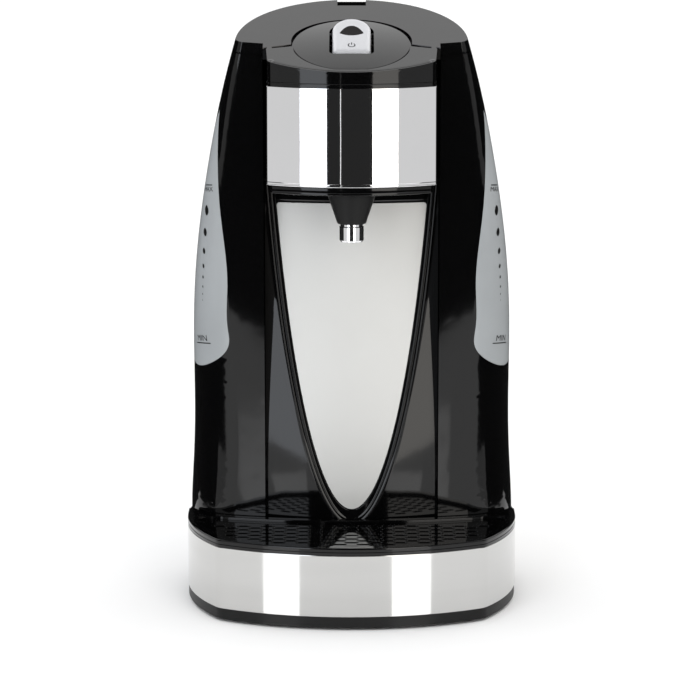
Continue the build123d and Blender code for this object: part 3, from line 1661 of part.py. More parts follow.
# ---------------------------------------------------------------- screws
def upright_screws(spots, seat_z, up):
    # screws whose heads sit at seat_z, shanks pointing up (1) or down (-1)
    with BuildPart() as group:
        with BuildSketch(Plane.XY.offset(seat_z)):
            with Locations(*spots):
                Circle(screw_head_radius)
        extrude(amount=-up * screw_head_height)
        with BuildSketch(Plane.XY.offset(seat_z)):
            with Locations(*spots):
                Circle(screw_radius)
        extrude(amount=up * (screw_length - 0.5))
        with BuildSketch(Plane.XY.offset(seat_z - up * screw_head_height)):
            with Locations(*spots):
                RegularPolygon(screw_socket, 6)
        extrude(amount=up * screw_socket, mode=Mode.SUBTRACT)
    return group.part


plate_screw_set = upright_screws(plate_screws, plate_bottom + screw_recess, 1)
plate_screw_set.label = "plate_screws"
export_step(plate_screw_set, "parts/plate_screws.step")

shell_screw_set = upright_screws(shell_screws, deck_top - deck_thickness, 1)
shell_screw_set.label = "shell_screws"
export_step(shell_screw_set, "parts/shell_screws.step")

boiler_screw_set = upright_screws(boiler_ears, float_z, -1)
boiler_screw_set.label = "boiler_screws"
export_step(boiler_screw_set, "parts/boiler_screws.step")

cap_screw_set = upright_screws(cap_posts, bridge_bottom, 1)
cap_screw_set.label = "cap_screws"
export_step(cap_screw_set, "parts/cap_screws.step")

with BuildPart() as head_screws:
    with BuildSketch(Plane.XZ.offset(-head_pad_y)):
        with Locations(*head_screw_spots):
            Circle(screw_head_radius)
    extrude(amount=-screw_head_height)
    with BuildSketch(Plane.XZ.offset(-head_pad_y)):
        with Locations(*head_screw_spots):
            Circle(screw_radius)
    extrude(amount=screw_length)
    with BuildSketch(Plane.XZ.offset(-head_pad_y - screw_head_height)):
        with Locations(*head_screw_spots):
            RegularPolygon(screw_socket, 6)
    extrude(amount=screw_socket, mode=Mode.SUBTRACT)
head_screws.part.label = "head_screws"
export_step(head_screws.part, "parts/head_screws.step")
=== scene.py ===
import json
from math import pi, radians

import bmesh
import bpy
import numpy as np
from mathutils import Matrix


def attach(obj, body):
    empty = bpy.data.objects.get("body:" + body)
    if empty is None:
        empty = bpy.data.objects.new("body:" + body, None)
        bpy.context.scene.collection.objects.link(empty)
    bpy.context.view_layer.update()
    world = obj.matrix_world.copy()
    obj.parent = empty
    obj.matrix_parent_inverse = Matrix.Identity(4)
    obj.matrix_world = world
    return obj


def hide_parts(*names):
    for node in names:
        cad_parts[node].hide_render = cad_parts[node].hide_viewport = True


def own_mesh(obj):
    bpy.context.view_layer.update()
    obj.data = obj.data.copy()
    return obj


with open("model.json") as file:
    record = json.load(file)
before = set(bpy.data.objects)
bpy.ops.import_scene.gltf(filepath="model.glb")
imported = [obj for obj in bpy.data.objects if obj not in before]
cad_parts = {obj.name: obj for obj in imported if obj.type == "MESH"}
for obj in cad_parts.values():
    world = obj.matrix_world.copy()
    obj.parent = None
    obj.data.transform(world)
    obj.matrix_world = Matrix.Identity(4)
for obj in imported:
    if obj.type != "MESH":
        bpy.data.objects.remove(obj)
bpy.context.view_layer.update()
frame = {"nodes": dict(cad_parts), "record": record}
mm = 0.001
scene = bpy.context.scene
nodes = frame["nodes"]
bodyOf = {n: b for b, members in frame["record"]["behaviour"]["bodies"].items() for n in members}
print("frame loaded:", len(nodes), "nodes")


# shader maths: a socket with operators, and one method for every other node

class Wire:
    def __init__(self, tree, socket):
        self.tree, self.socket = tree, socket

    def maths(self, operation, *others):
        return self.tree.math(operation, self, *others)

    def __add__(self, other): return self.maths("ADD", other)
    def __radd__(self, other): return self.maths("ADD", other)
    def __sub__(self, other): return self.maths("SUBTRACT", other)
    def __rsub__(self, other): return self.tree.math("SUBTRACT", other, self)
    def __mul__(self, other): return self.maths("MULTIPLY", other)
    def __rmul__(self, other): return self.maths("MULTIPLY", other)


class Tree:
    def __init__(self, owner):
        owner.use_nodes = True
        self.nodes, self.links = owner.node_tree.nodes, owner.node_tree.links
        self.nodes.clear()

    def put(self, socket, value):
        if isinstance(value, Wire):
            self.links.new(value.socket, socket)
        else:
            socket.default_value = value

    def node(self, kind, settings=None, inputs=None, output=0):
        made = self.nodes.new(kind)
        for name, value in (settings or {}).items():
            setattr(made, name, value)
        for name, value in (inputs or {}).items():
            self.put(made.inputs[name], value)
        return Wire(self, made.outputs[output])

    def math(self, operation, *values):
        return self.node("ShaderNodeMath", {"operation": operation}, dict(enumerate(values)))

    def place(self):
        return self.node("ShaderNodeTexCoord", output="Object")

    def noise(self, scale, stretch=(1, 1, 1), detail=3.0, roughness=0.5):
        spot = self.node("ShaderNodeMapping", None, {"Vector": self.place(), "Scale": stretch})
        return self.node("ShaderNodeTexNoise", None,
                         {"Vector": spot, "Scale": scale, "Detail": detail, "Roughness": roughness})

    def blend(self, share, first, second):
        return self.node("ShaderNodeMix", {"data_type": "RGBA"}, {0: share, 6: first, 7: second}, output=2)

    def bump(self, height, distance, strength=1.0):
        return self.node("ShaderNodeBump", None,
                         {"Height": height, "Distance": distance, "Strength": strength})


def grey(value, tint=(1, 1, 1)):
    return tuple(value * t for t in tint) + (1.0,)


class Finish:
    # one material: its node tree and its main shader
    def __init__(self, name, **plain):
        self.material = bpy.data.materials.new(name)
        self.tree = Tree(self.material)
        self.shader = self.tree.nodes.new("ShaderNodeBsdfPrincipled")
        out = self.tree.nodes.new("ShaderNodeOutputMaterial")
        self.tree.links.new(self.shader.outputs[0], out.inputs[0])
        self.set(**plain)

    def set(self, **values):
        for name, value in values.items():
            self.tree.put(self.shader.inputs[name.replace("_", " ")], value)


# finishes, one for each slot of the record

def blackGloss():
    made = Finish("blackGloss", IOR=1.42)
    t = made.tree
    ripple = t.noise(90, detail=1.0)
    dust = t.noise(900, detail=2.0)
    made.set(Base_Color=t.blend(dust, grey(0.0008, (1, 1, 1.1)), grey(0.0018, (1, 1, 1.1))),
             Roughness=0.045 + 0.03 * t.noise(14, detail=2.0),
             Normal=t.bump(ripple, 0.00002))
    return made.material


def blackMatte():
    made = Finish("blackMatte", IOR=1.3)
    t = made.tree
    grain = t.noise(2600, detail=2.0)
    made.set(Base_Color=t.blend(grain, grey(0.004), grey(0.008)), Roughness=0.36 + 0.16 * grain,
             Normal=t.bump(grain, 0.00006, 0.6))
    return made.material


def silverPlate():
    made = Finish("silverPlate", Metallic=0.45)
    t = made.tree
    blasted = t.noise(2400, detail=3.0)
    cloud = t.noise(18, detail=3.0)
    made.set(Base_Color=t.blend(cloud, grey(0.60, (1, 1, 0.97)), grey(0.66, (1, 1, 0.98))),
             Roughness=0.55 + 0.10 * blasted, Normal=t.bump(blasted, 0.00003, 0.5))
    return made.material


def steelBand():
    made = Finish("steelBand", Metallic=1.0)
    t = made.tree
    brushed = t.noise(60, (0.5, 0.5, 40), detail=5.0, roughness=0.65)
    streak = t.noise(9, (0.6, 0.6, 9), detail=3.0)
    made.set(Base_Color=t.blend(streak, grey(0.53, (1, 0.995, 0.975)), grey(0.62, (1, 0.995, 0.98))),
             Roughness=0.05 + 0.07 * brushed, Normal=t.bump(brushed, 0.000012, 0.5))
    return made.material


def chrome():
    made = Finish("chrome", Metallic=1.0)
    t = made.tree
    wave = t.noise(40, detail=1.0)
    made.set(Base_Color=t.blend(t.noise(30), grey(0.88, (1, 1, 1.01)), grey(0.93, (1, 1, 1.01))),
             Roughness=0.02 + 0.02 * t.noise(200), Normal=t.bump(wave, 0.00003))
    return made.material


def smokeWindow():
    made = Finish("smokeWindow", IOR=1.5)
    t = made.tree
    haze = t.noise(30, detail=3.0)
    made.set(Base_Color=t.blend(haze, grey(0.29, (0.95, 1, 1.03)), grey(0.35, (0.95, 1, 1.03))),
             Roughness=0.16 + 0.06 * t.noise(500), Normal=t.bump(t.noise(70), 0.00002))
    return made.material


def pearlButton():
    made = Finish("pearlButton", Metallic=0.25, Coat_Roughness=0.08)
    t = made.tree
    flake = t.noise(4200, detail=1.0)
    made.set(Base_Color=t.blend(flake, grey(0.52, (0.99, 1, 1.04)), grey(0.66, (0.99, 1, 1.04))),
             Roughness=0.28 + 0.08 * flake, Coat_Weight=0.5)
    return made.material


def smokedLens():
    made = Finish("smokedLens", IOR=1.12)
    t = made.tree
    made.set(Base_Color=t.blend(t.noise(400), grey(0.002, (1.3, 1, 1)), grey(0.005, (1.3, 1, 1))),
             Roughness=0.04 + 0.03 * t.noise(120))
    return made.material


def grained(name, low, high, tint=(1, 1, 1), rough=0.5, metallic=0.0, scale=900, height=0.00003, **plain):
    # a plain moulded or cast finish: two tones and a fine grain
    made = Finish(name, Metallic=metallic, **plain)
    t = made.tree
    grain = t.noise(scale, detail=3.0)
    made.set(Base_Color=t.blend(grain, grey(low, tint), grey(high, tint)),
             Roughness=rough - 0.08 + 0.16 * grain, Normal=t.bump(grain, height, 0.5))
    return made.material


finishes = {
    "black_gloss": blackGloss(),
    "black_matte": blackMatte(),
    "silver_plate": silverPlate(),
    "steel_band": steelBand(),
    "chrome": chrome(),
    "smoke_window": smokeWindow(),
    "button_white": pearlButton(),
    "lens_clear": smokedLens(),
    "rubber": grained("rubber", 0.012, 0.022, rough=0.75),
    "silicone": grained("silicone", 0.50, 0.58, (1, 1, 0.96), 0.45),
    "tank_clear": grained("tankClear", 0.42, 0.48, (0.96, 1, 1.03), 0.14, scale=60, Alpha=0.55),
    "stainless": grained("stainless", 0.50, 0.62, rough=0.30, metallic=1.0, scale=300),
    "zinc_steel": grained("zincSteel", 0.52, 0.62, (0.98, 0.99, 1.03), 0.32, 1.0, 1500),
    "cast_aluminium": grained("castAluminium", 0.48, 0.60, rough=0.42, metallic=1.0, scale=700,
                              height=0.0001),
    "board_green": grained("boardGreen", 0.10, 0.14, (0.2, 1, 0.45), 0.35, scale=200),
    "white_nylon": grained("whiteNylon", 0.60, 0.68, (1, 1, 0.95), 0.5),
}
slotOf = {row["node"]: row["material_slot"] for row in frame["record"]["subparts"]}
for name, piece in nodes.items():
    piece.data.materials.clear()
    piece.data.materials.append(finishes[slotOf[name]])
print("finishes made:", len(finishes))


# pieces that come from a CAD node, and pieces made here

def merged(node):
    # points and triangles of a CAD node, with its loose corners joined
    mesh = nodes[node].data
    points = np.empty(len(mesh.vertices) * 3)
    mesh.vertices.foreach_get("co", points)
    corners = np.empty(len(mesh.loops), dtype=np.int64)
    mesh.loops.foreach_get("vertex_index", corners)
    kept, index = np.unique(np.round(points.reshape(-1, 3), 7), axis=0, return_inverse=True)
    faces = index.ravel()[corners].reshape(-1, 3)
    whole = (faces[:, 0] != faces[:, 1]) & (faces[:, 1] != faces[:, 2]) & (faces[:, 0] != faces[:, 2])
    return kept, faces[whole]


def addPiece(name, mesh, slot, body):
    piece = bpy.data.objects.new(name, mesh)
    scene.collection.objects.link(piece)
    mesh.materials.append(finishes[slot])
    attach(piece, body)
    return piece


# degrees: faces count as flat below the first and edges as sharp above the second
rounding = {"flat": 0.2, "sharp": 35}


def roundedCopy(node, name, width):
    # copy of a node with merged corners, flat faces joined and every sharp edge rounded
    points, faces = merged(node)
    mesh = bpy.data.meshes.new(name)
    mesh.from_pydata(points, [], faces)
    work = bmesh.new()
    work.from_mesh(mesh)
    bmesh.ops.dissolve_limit(work, angle_limit=radians(rounding["flat"]), verts=work.verts,
                             edges=work.edges)
    work.to_mesh(mesh)
    work.free()
    mesh.shade_smooth()
    piece = addPiece(name, mesh, slotOf[node], bodyOf[node])
    edge = piece.modifiers.new("edges", "BEVEL")
    edge.width, edge.segments, edge.limit_method = width * mm, 2, "ANGLE"
    edge.angle_limit, edge.miter_outer = radians(rounding["sharp"]), "MITER_ARC"
    weigh = piece.modifiers.new("normals", "WEIGHTED_NORMAL")
    weigh.mode, weigh.weight, weigh.keep_sharp = "FACE_AREA", 100, False
    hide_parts(node)


# surfaces drawn in millimetres until they become a mesh

def surface(name, grid, slot, body, around=False, turn=40):
    # smooth skin over a grid of points, rows by columns; around joins the last column to the first
    rows, columns = grid.shape[:2]
    step = np.arange(columns if around else columns - 1)
    side = (step + 1) % columns
    faces = [np.stack([low + step, low + side, low + columns + side, low + columns + step], 1)
             for low in columns * np.arange(rows - 1)]
    mesh = bpy.data.meshes.new(name)
    mesh.from_pydata(grid.reshape(-1, 3) * mm, [], np.concatenate(faces).tolist())
    mesh.shade_smooth()
    mesh.set_sharp_from_angle(angle=radians(turn))
    return addPiece(name, mesh, slot, body)


def rounded(corners, closed=False, steps=5):
    # polyline of (across, up, radius) with each corner turned into a small arc
    made = []
    last = len(corners) - 1
    for k, (across, up, radius) in enumerate(corners):
        if radius == 0 or (not closed and k in (0, last)):
            made.append((across, up))
            continue
        spot = np.array([across, up])
        before = np.array(corners[k - 1][:2]) - spot
        after = np.array(corners[(k + 1) % len(corners)][:2]) - spot
        before, after = before / np.linalg.norm(before), after / np.linalg.norm(after)
        half = 0.5 * np.arccos(np.clip(before @ after, -1, 1))
        reach = radius / np.tan(half)
        # quadratic curve between the two tangent points
        for t in np.linspace(0, 1, steps + 1):
            made.append(spot + reach * ((1 - t) ** 2 * before + t ** 2 * after))
    if closed:
        made.append(made[0])
    return np.array(made, dtype=float)


def meet(first, firstRadius, second, secondRadius, side):
    # a crossing of two circles, on the given side of the line between their centres
    first, second = np.array(first, float), np.array(second, float)
    gap = np.linalg.norm(second - first)
    along = (firstRadius ** 2 - secondRadius ** 2 + gap ** 2) / (2 * gap)
    line = (second - first) / gap
    across = np.sqrt(firstRadius ** 2 - along ** 2) * side
    return first + along * line + across * np.array([-line[1], line[0]])


def outline(arcs, count=160):
    # points and outward normals of tangent arcs (centre, radius, first and last degrees), mirrored in X
    spots, outward = [], []
    total = sum(radius * (last - first) for _, radius, first, last in arcs)
    for centre, radius, first, last in arcs:
        turn = np.radians(np.linspace(first, last, max(4, round(count * radius * (last - first) / total))))
        unit = np.stack([np.cos(turn), np.sin(turn)], 1)
        spots.append(np.array(centre) + radius * unit)
        outward.append(unit)
    spots, outward = np.concatenate(spots), np.concatenate(outward)
    flip = np.array([-1, 1])
    return (np.concatenate([spots[::-1] * flip, spots[1:]]),
            np.concatenate([outward[::-1] * flip, outward[1:]]))


def swept(profile, spots, outward, height=None):
    # grid of a profile (out, up) carried along an outline; height adds a rise that depends on the place
    grid = np.empty((len(profile), len(spots), 3))
    for row, (out, up) in enumerate(profile):
        grid[row, :, :2] = spots + out * outward
        grid[row, :, 2] = up + (0 if height is None else height(grid[row, :, 1]))
    return grid


def turned(name, profile, centre, slot, body, count=72):
    # solid of revolution about an upright axis from a profile (radius, height)
    angle = np.linspace(0, 2 * pi, count, endpoint=False)
    radius, height = profile[:, 0, None], profile[:, 1, None]
    grid = np.stack(np.broadcast_arrays(centre[0] + radius * np.cos(angle),
                                        centre[1] + radius * np.sin(angle), height), 2)
    return surface(name, grid, slot, body, around=True)


# base

base = {"half": 88.5, "front": -95.0, "rear": 95.0, "frontRadius": 131.0, "cornerX": 70.0, "sideY": -10.0,
        "cornerRound": 12.0, "bandLow": 7.2, "bandHigh": 40.0, "bandThickness": 0.8, "innerRound": 0.2,
        "outerRound": 0.35, "support": 0.8}


def baseOutline():
    # shallow front arc, soft corner, side arc and a half circle behind
    middle = (0.0, base["front"] + base["frontRadius"])
    cornerY = middle[1] - np.sqrt(base["frontRadius"] ** 2 - base["cornerX"] ** 2)
    rise, run = base["sideY"] - cornerY, base["half"] - base["cornerX"]
    sideRadius = (run ** 2 + rise ** 2) / (2 * run)
    side = (base["half"] - sideRadius, base["sideY"])
    reach = base["frontRadius"] - base["cornerRound"], sideRadius - base["cornerRound"]
    corner = meet(middle, reach[0], side, reach[1], 1)
    if corner[1] > 0:
        corner = meet(middle, reach[0], side, reach[1], -1)
    near = np.degrees(np.arctan2(corner[1] - middle[1], corner[0] - middle[0]))
    far = np.degrees(np.arctan2(corner[1] - side[1], corner[0] - side[0]))
    rear = (0.0, base["rear"] - base["half"])
    return outline([(middle, base["frontRadius"], -90, near), (corner, base["cornerRound"], near, far),
                    (side, sideRadius, far, 0), (rear, base["half"], 0, 90)])


def baseBand():
    spots, outward = baseOutline()
    thin = base["bandThickness"]
    low, high = base["bandLow"], base["bandHigh"]
    inner, outer, support = base["innerRound"], base["outerRound"], base["support"]
    profile = rounded([(-thin, low, inner), (0, low, outer), (0, low + support, 0), (0, high - support, 0),
                       (0, high, outer), (-thin, high, inner)], closed=True)
    piece = surface("baseBand", swept(profile, spots, outward), "steel_band", "machine")
    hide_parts("base_band")


baseBand()
baseEdges = {"base_plate": 0.7, "base_housing": 0.3, "tray_housing": 0.3, "drip_tray": 1.2,
             "drip_grille": 0.3, "rubber_feet": 0.5}
for node, width in baseEdges.items():
    roundedCopy(node, node + "_rounded", width)
print("base made")


# head: chrome drum, black ring below, cap above

head = {"half": 43.4, "front": -78.5, "frontRadius": 78.0, "backHalf": 44.6, "backY": -46.0, "corner": 4.0,
        "sideRadius": 6000.0, "ringLow": 225.5, "drumLow": 229.8, "drumHigh": 281.1, "ringInset": 1.4,
        "wallY": -19.0}
band = {"half": 44.0, "corner": 1.2, "depth": 0.8, "proud": 0.06, "lip": 1.1, "groove": 1.5,
        "grooveDepth": 0.12, "plain": 1.9, "support": (2.6, 0.8)}
skin = {"roll": 1.1, "proud": 0.06, "overlap": 0.25, "seam": 1.9, "seamDepth": 0.2, "seamHalf": 0.2,
        "support": 0.6, "back": -45.0, "inward": -3.0}
top = {"edgeY": -41.0, "edgeZ": 302.0, "slope": 0.3325}


def topZ(y):
    return top["edgeZ"] + top["slope"] * (y - top["edgeY"])


def headOutline(backY, half=head["half"], radius=head["corner"]):
    # front arc, soft corner, a nearly straight side taken as a very large arc, and a straight run back
    middle = (0.0, head["front"] + head["frontRadius"])
    cornerY = middle[1] - np.sqrt(head["frontRadius"] ** 2 - half ** 2)
    low, high = np.array([half, cornerY]), np.array([head["backHalf"], head["backY"]])
    run = (high - low) / np.linalg.norm(high - low)
    large = head["sideRadius"]
    side = 0.5 * (low + high) - large * np.array([run[1], -run[0]])
    corners = [meet(middle, head["frontRadius"] - radius, side, large - radius, s) for s in (-1, 1)]
    corner = min(corners, key=lambda spot: np.linalg.norm(spot - low))
    near = np.degrees(np.arctan2(corner[1] - middle[1], corner[0] - middle[0]))
    far = np.degrees(np.arctan2(corner[1] - side[1], corner[0] - side[0]))
    end = np.degrees(np.arctan2(high[1] - side[1], high[0] - side[0]))
    spots, outward = outline([(middle, head["frontRadius"], -90, near), (corner, radius, near, far),
                              (side, large, far, end)], 120)
    backs = np.array([[head["backHalf"], backY]])
    flip = np.array([-1, 1])
    square = np.array([[1.0, 0.0]])
    return np.concatenate([backs * flip, spots, backs]), np.concatenate([square * flip, outward, square])


def drumBand():
    spots, outward = headOutline(head["wallY"], band["half"], band["corner"])
    low, high = head["drumLow"], head["drumHigh"]
    near, far = band["support"]
    # a rolled lip below, then a fine groove and the plain band
    profile = rounded([(-band["depth"], high, 0), (0, high, 0.3), (0, high - far, 0), (0, low + near, 0),
                       (0, low + band["plain"], 0.3), (-band["grooveDepth"], low + band["groove"], 0.3),
                       (band["proud"], low + band["lip"], 0.4), (band["proud"], low, 0.7),
                       (-band["depth"], low, 0)])
    piece = surface("drumBand", swept(profile, spots, outward), "chrome", "machine", turn=60)
    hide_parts("drum_band")


def drumRing():
    spots, outward = headOutline(head["wallY"])
    inset, low, high = head["ringInset"], head["ringLow"], head["drumLow"]
    profile = rounded([(-inset - 6, low, 0), (-inset, low, 2.2), (-inset + 0.3, high, 0.5),
                       (-inset - 3, high, 0)], steps=8)
    surface("drumRing", swept(profile, spots, outward), "black_gloss", "machine", turn=60)


def capSkin():
    # front wall of the cap, rolled over on to the sloping top: rows of (out, up, measured from the top)
    spots, outward = headOutline(skin["back"])
    roll, proud, thin, support = skin["roll"], skin["proud"], skin["seamHalf"], skin["support"]
    seam = head["drumHigh"] + skin["seam"]
    rows = [(proud, head["drumHigh"] + skin["overlap"], 0), (proud, seam - support, 0),
            (proud, seam - thin, 0), (proud - skin["seamDepth"], seam, 0), (proud, seam + thin, 0),
            (proud, seam + support, 0), (proud, -roll - support, 1)]
    rows += [(proud - roll * (1 - np.cos(a)), -roll * (1 - np.sin(a)) + proud, 1)
             for a in np.linspace(0, pi / 2, 7)]
    rows.append((skin["inward"], proud, 1))
    grid = np.empty((len(rows), len(spots), 3))
    for row, (out, up, onTop) in enumerate(rows):
        grid[row, :, :2] = spots + out * outward
        grid[row, :, 2] = up + onTop * topZ(grid[row, :, 1])
    surface("capSkin", grid, "black_gloss", "machine", turn=60)


drumBand()
drumRing()
capSkin()
roundedCopy("drum_ring", "drumRingBody", 0.5)
print("head made")


# spout

spout = {"place": (0.0, -59.0), "nozzle": 6.6, "bore": 4.6, "tip": 7.5, "wide": 13.0, "low": 199.5,
         "coneLow": 209.0, "coneHigh": 225.5}


def spoutPieces():
    low, high, wide = spout["low"], spout["coneLow"], spout["nozzle"]
    profile = rounded([(spout["bore"], high, 0), (spout["bore"], low, 0.4), (wide - 0.5, low, 0.4),
                       (wide, low + 1, 0.4), (wide, high - 1.6, 0.2), (wide - 0.5, high - 1.2, 0.2),
                       (wide - 0.5, high + 1, 0)])
    nozzle = turned("spoutNozzle", profile, spout["place"], "chrome", "machine")
    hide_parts("spout_nozzle")
    mouth = spout["coneHigh"]
    profile = rounded([(spout["bore"], high, 0), (spout["tip"], high, 0.8),
                       (spout["tip"] + 0.7, high + 2.2, 0.6), (spout["wide"] - 0.8, mouth - 2.6, 2.0),
                       (spout["wide"], mouth, 0.4), (10.0, mouth, 0)])
    cone = turned("spoutCone", profile, spout["place"], "black_matte", "machine")
    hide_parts("spout_cone")


spoutPieces()
print("spout made")


# front: tapering plate in a ridged frame, on an upright cylinder

wall = {"radius": 150.0, "y": 126.0, "channelHalf": 46.1, "top": 225.0, "plateTop": 214.6, "deck": 41.6}
# tip height, half height, half width of four nested ellipses
plateVee, grooveVee, ridgeVee, bezelVee = np.array([[49.0, 366.0, 47.7], [42.3, 396.5, 51.7],
                                                    [40.1, 325.0, 50.7], [39.8, 325.0, 54.4]])
# heights over the wall, and shares of the way from the plate to the frame's outer edge
ridges = {"sunk": 0.62, "slope": 0.42, "step": 0.45, "stepAt": 0.55, "stepRun": 0.30,
          "beads": ((0.36, 0.47, 0.07), (0.28, 0.90, 0.06)), "innerDrop": 1.6, "innerRun": 0.06,
          "outerDrop": 0.45, "outerRun": 0.07, "flange": -0.02}
bar = {"low": -0.3, "rise": 1.2, "edge": 1.2, "edgeRun": 1.0, "start": 0.15}


def onWall(x, z, height):
    # point at a height above the wall's cylinder
    return np.stack([x, wall["y"] - np.sqrt((wall["radius"] + height) ** 2 - x ** 2), z], -1)


def vee(shape, level, count=181):
    # lower end of an upright ellipse, from its left top round the tip to its right top
    tip, tall, wide = shape
    rise = np.arcsin((level - tip - tall) / tall)
    angle = np.linspace(pi - rise, 2 * pi + rise, count)
    return wide * np.cos(angle), tip + tall + tall * np.sin(angle)


def bezelRidges():
    # two slanting flats that fall towards the plate, each with a bead on its outer edge, and a flush flange
    inner, middle, ridge, outer = (np.stack(vee(shape, wall["top"]))
                                   for shape in (plateVee, grooveVee, ridgeVee, bezelVee))
    rows = []
    for share in np.linspace(0, 1, 37):
        fall = (-ridges["sunk"] + ridges["sunk"] * min(share / ridges["slope"], 1)
                + ridges["step"] * np.clip((share - ridges["stepAt"]) / ridges["stepRun"], 0, 1))
        bead = sum(tall * np.exp(-((share - place) / wide) ** 2) for tall, place, wide in ridges["beads"])
        first = np.clip(1 - share / ridges["innerRun"], 0, 1)
        last = np.clip(1 - (1 - share) / ridges["outerRun"], 0, 1)
        edge = ridges["innerDrop"] * first ** 2 + ridges["outerDrop"] * last ** 2
        start, end = (inner, middle) if share <= 0.5 else (middle, ridge)
        at = start + (end - start) * (share - (share > 0.5) * 0.5) / 0.5
        rows.append((at, fall + bead - edge))
    rows += [(ridge + (outer - ridge) * share, ridges["flange"]) for share in (0.06, 0.5, 1.0)]
    grid = []
    for (x, z), height in rows:
        x, z = np.clip(x, -wall["channelHalf"], wall["channelHalf"]), np.maximum(z, wall["deck"])
        grid.append(onWall(x, z, height))
    piece = surface("bezelRidges", np.array(grid), "black_gloss", "machine", turn=70)
    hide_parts("fascia_bezel")


def bezelHead():
    # the frame's level bar above the plate, between the two arms, leaning forward as it rises
    high = np.linspace(wall["plateTop"] + bar["start"], wall["top"], 13)
    tip, tall, wide = plateVee
    reach = wide * np.sqrt(1 - ((high - tip - tall) / tall) ** 2)
    x = reach[:, None] * np.linspace(-1, 1, 41)[None, :]
    height = (bar["low"] + bar["rise"] * (high - high[0]) / (high[-1] - high[0])
              - bar["edge"] * np.clip((high[0] + bar["edgeRun"] - high) / bar["edgeRun"], 0, 1) ** 2)
    grid = onWall(x, np.repeat(high[:, None], 41, 1), height[:, None])
    surface("bezelHead", grid, "black_gloss", "machine", turn=70)


bezelRidges()
bezelHead()
roundedCopy("front_plate", "frontPlate", 0.25)
roundedCopy("tank_lid", "tankLid", 0.7)
print("front made")


# button with its lens and a generic power sign

key = {"half": 10.1, "front": -57.4, "rear": -22.0, "middle": -39.0, "corner": 4.6, "low": 1.6, "high": 4.6,
       "crown": 0.55, "roll": 2.3, "skirt": 4.5, "travel": 2.1}
lens = {"half": 6.3, "y": -38.0, "sag": 2.6, "rise": 7.2, "power": 2.2, "lift": 0.08, "rim": 0.3}
sign = {"y": -50.5, "ring": 1.75, "stroke": 0.24, "arc": (125, 415), "bar": (0.3, 2.5), "lift": 0.04}
keyRise = (topZ(key["rear"]) + key["high"] - topZ(key["front"]) - key["low"]) / (key["rear"] - key["front"])


def keyZ(x, y):
    # the button's top: a slope that falls to both sides
    fall = key["crown"] * (x / key["half"]) ** 2
    return topZ(key["front"]) + key["low"] + keyRise * (y - key["front"]) - fall


def buttonShell():
    half, corner = key["half"], key["corner"]
    rear = (0.0, key["rear"] - half)
    spots, outward = outline([((half - corner, key["front"] + corner), corner, -90, 0),
                              (rear, half, 0, 90)], 90)
    rows = []
    for a in np.linspace(0, pi / 2, 8):
        at = spots - key["roll"] * (1 - np.cos(a)) * outward
        edge = keyZ(at[:, 0], at[:, 1])
        rows.append(np.column_stack([at, edge - key["roll"] * (1 - np.sin(a))]))
    skirt = rows[0].copy()
    skirt[:, 2] -= key["skirt"]
    centre = np.array([0.0, key["middle"]])
    inner = rows[-1][:, :2]
    for share in np.linspace(0.92, 0.0, 12):
        at = centre + (inner - centre) * share
        rows.append(np.column_stack([at, keyZ(at[:, 0], at[:, 1])]))
    piece = surface("buttonShell", np.array([skirt] + rows), "button_white", "button", turn=70)
    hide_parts("button")


def onKey(name, x, y, slot, lift):
    # closed flat shape laid on the button's top, with a short rim
    ring = np.column_stack([x, y, keyZ(x, y) + lift])
    foot = ring - np.array([0, 0, lift + lens["rim"]])
    centre = ring.mean(0)
    mid = 0.5 * (ring + centre)
    mid[:, 2] = keyZ(mid[:, 0], mid[:, 1]) + lift
    tip = np.repeat(centre[None], len(ring), 0)
    tip[:, 2] = keyZ(tip[:, 0], tip[:, 1]) + lift
    return surface(name, np.array([foot, ring, mid, tip]), slot, "button", around=True, turn=40)


def buttonLens():
    across = np.linspace(-1, 1, 25)
    low = lens["y"] - lens["sag"] * (1 - across ** 2)
    high = lens["y"] + lens["rise"] * (1 - np.abs(across) ** lens["power"])
    x = np.concatenate([across, across[::-1][1:-1]]) * lens["half"]
    y = np.concatenate([low, high[::-1][1:-1]])
    piece = onKey("buttonLens", x, y, "lens_clear", lens["lift"])
    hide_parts("button_lens")


def powerSign():
    # broken ring and a short bar, each a strip between two matching edges
    angle = np.radians(np.linspace(*sign["arc"], 40))
    ring, stroke, (foot, tip) = sign["ring"], sign["stroke"], sign["bar"]
    unit = np.stack([np.cos(angle), np.sin(angle)], 1)
    strips = {"signRing": ((ring + stroke) * unit, (ring - stroke) * unit),
              "signBar": (np.array([[-stroke, foot], [stroke, foot]]),
                          np.array([[-stroke, tip], [stroke, tip]]))}
    for name, edges in strips.items():
        grid = []
        for edge in edges:
            x, y = edge[:, 0], edge[:, 1] + sign["y"]
            grid.append(np.column_stack([x, y, keyZ(x, y) + sign["lift"]]))
        surface(name, np.array(grid), "black_matte", "button")


def returnSpring():
    # stands in the head's housing: a copy of the node's spring on its own mesh
    mesh = nodes["button_spring"].data.copy()
    mesh.materials.clear()
    piece = addPiece("returnSpring", mesh, slotOf["button_spring"], "machine")
    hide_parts("button_spring")
    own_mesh(piece)


buttonShell()
buttonLens()
powerSign()
returnSpring()
print("button made")


# level marks on the side windows

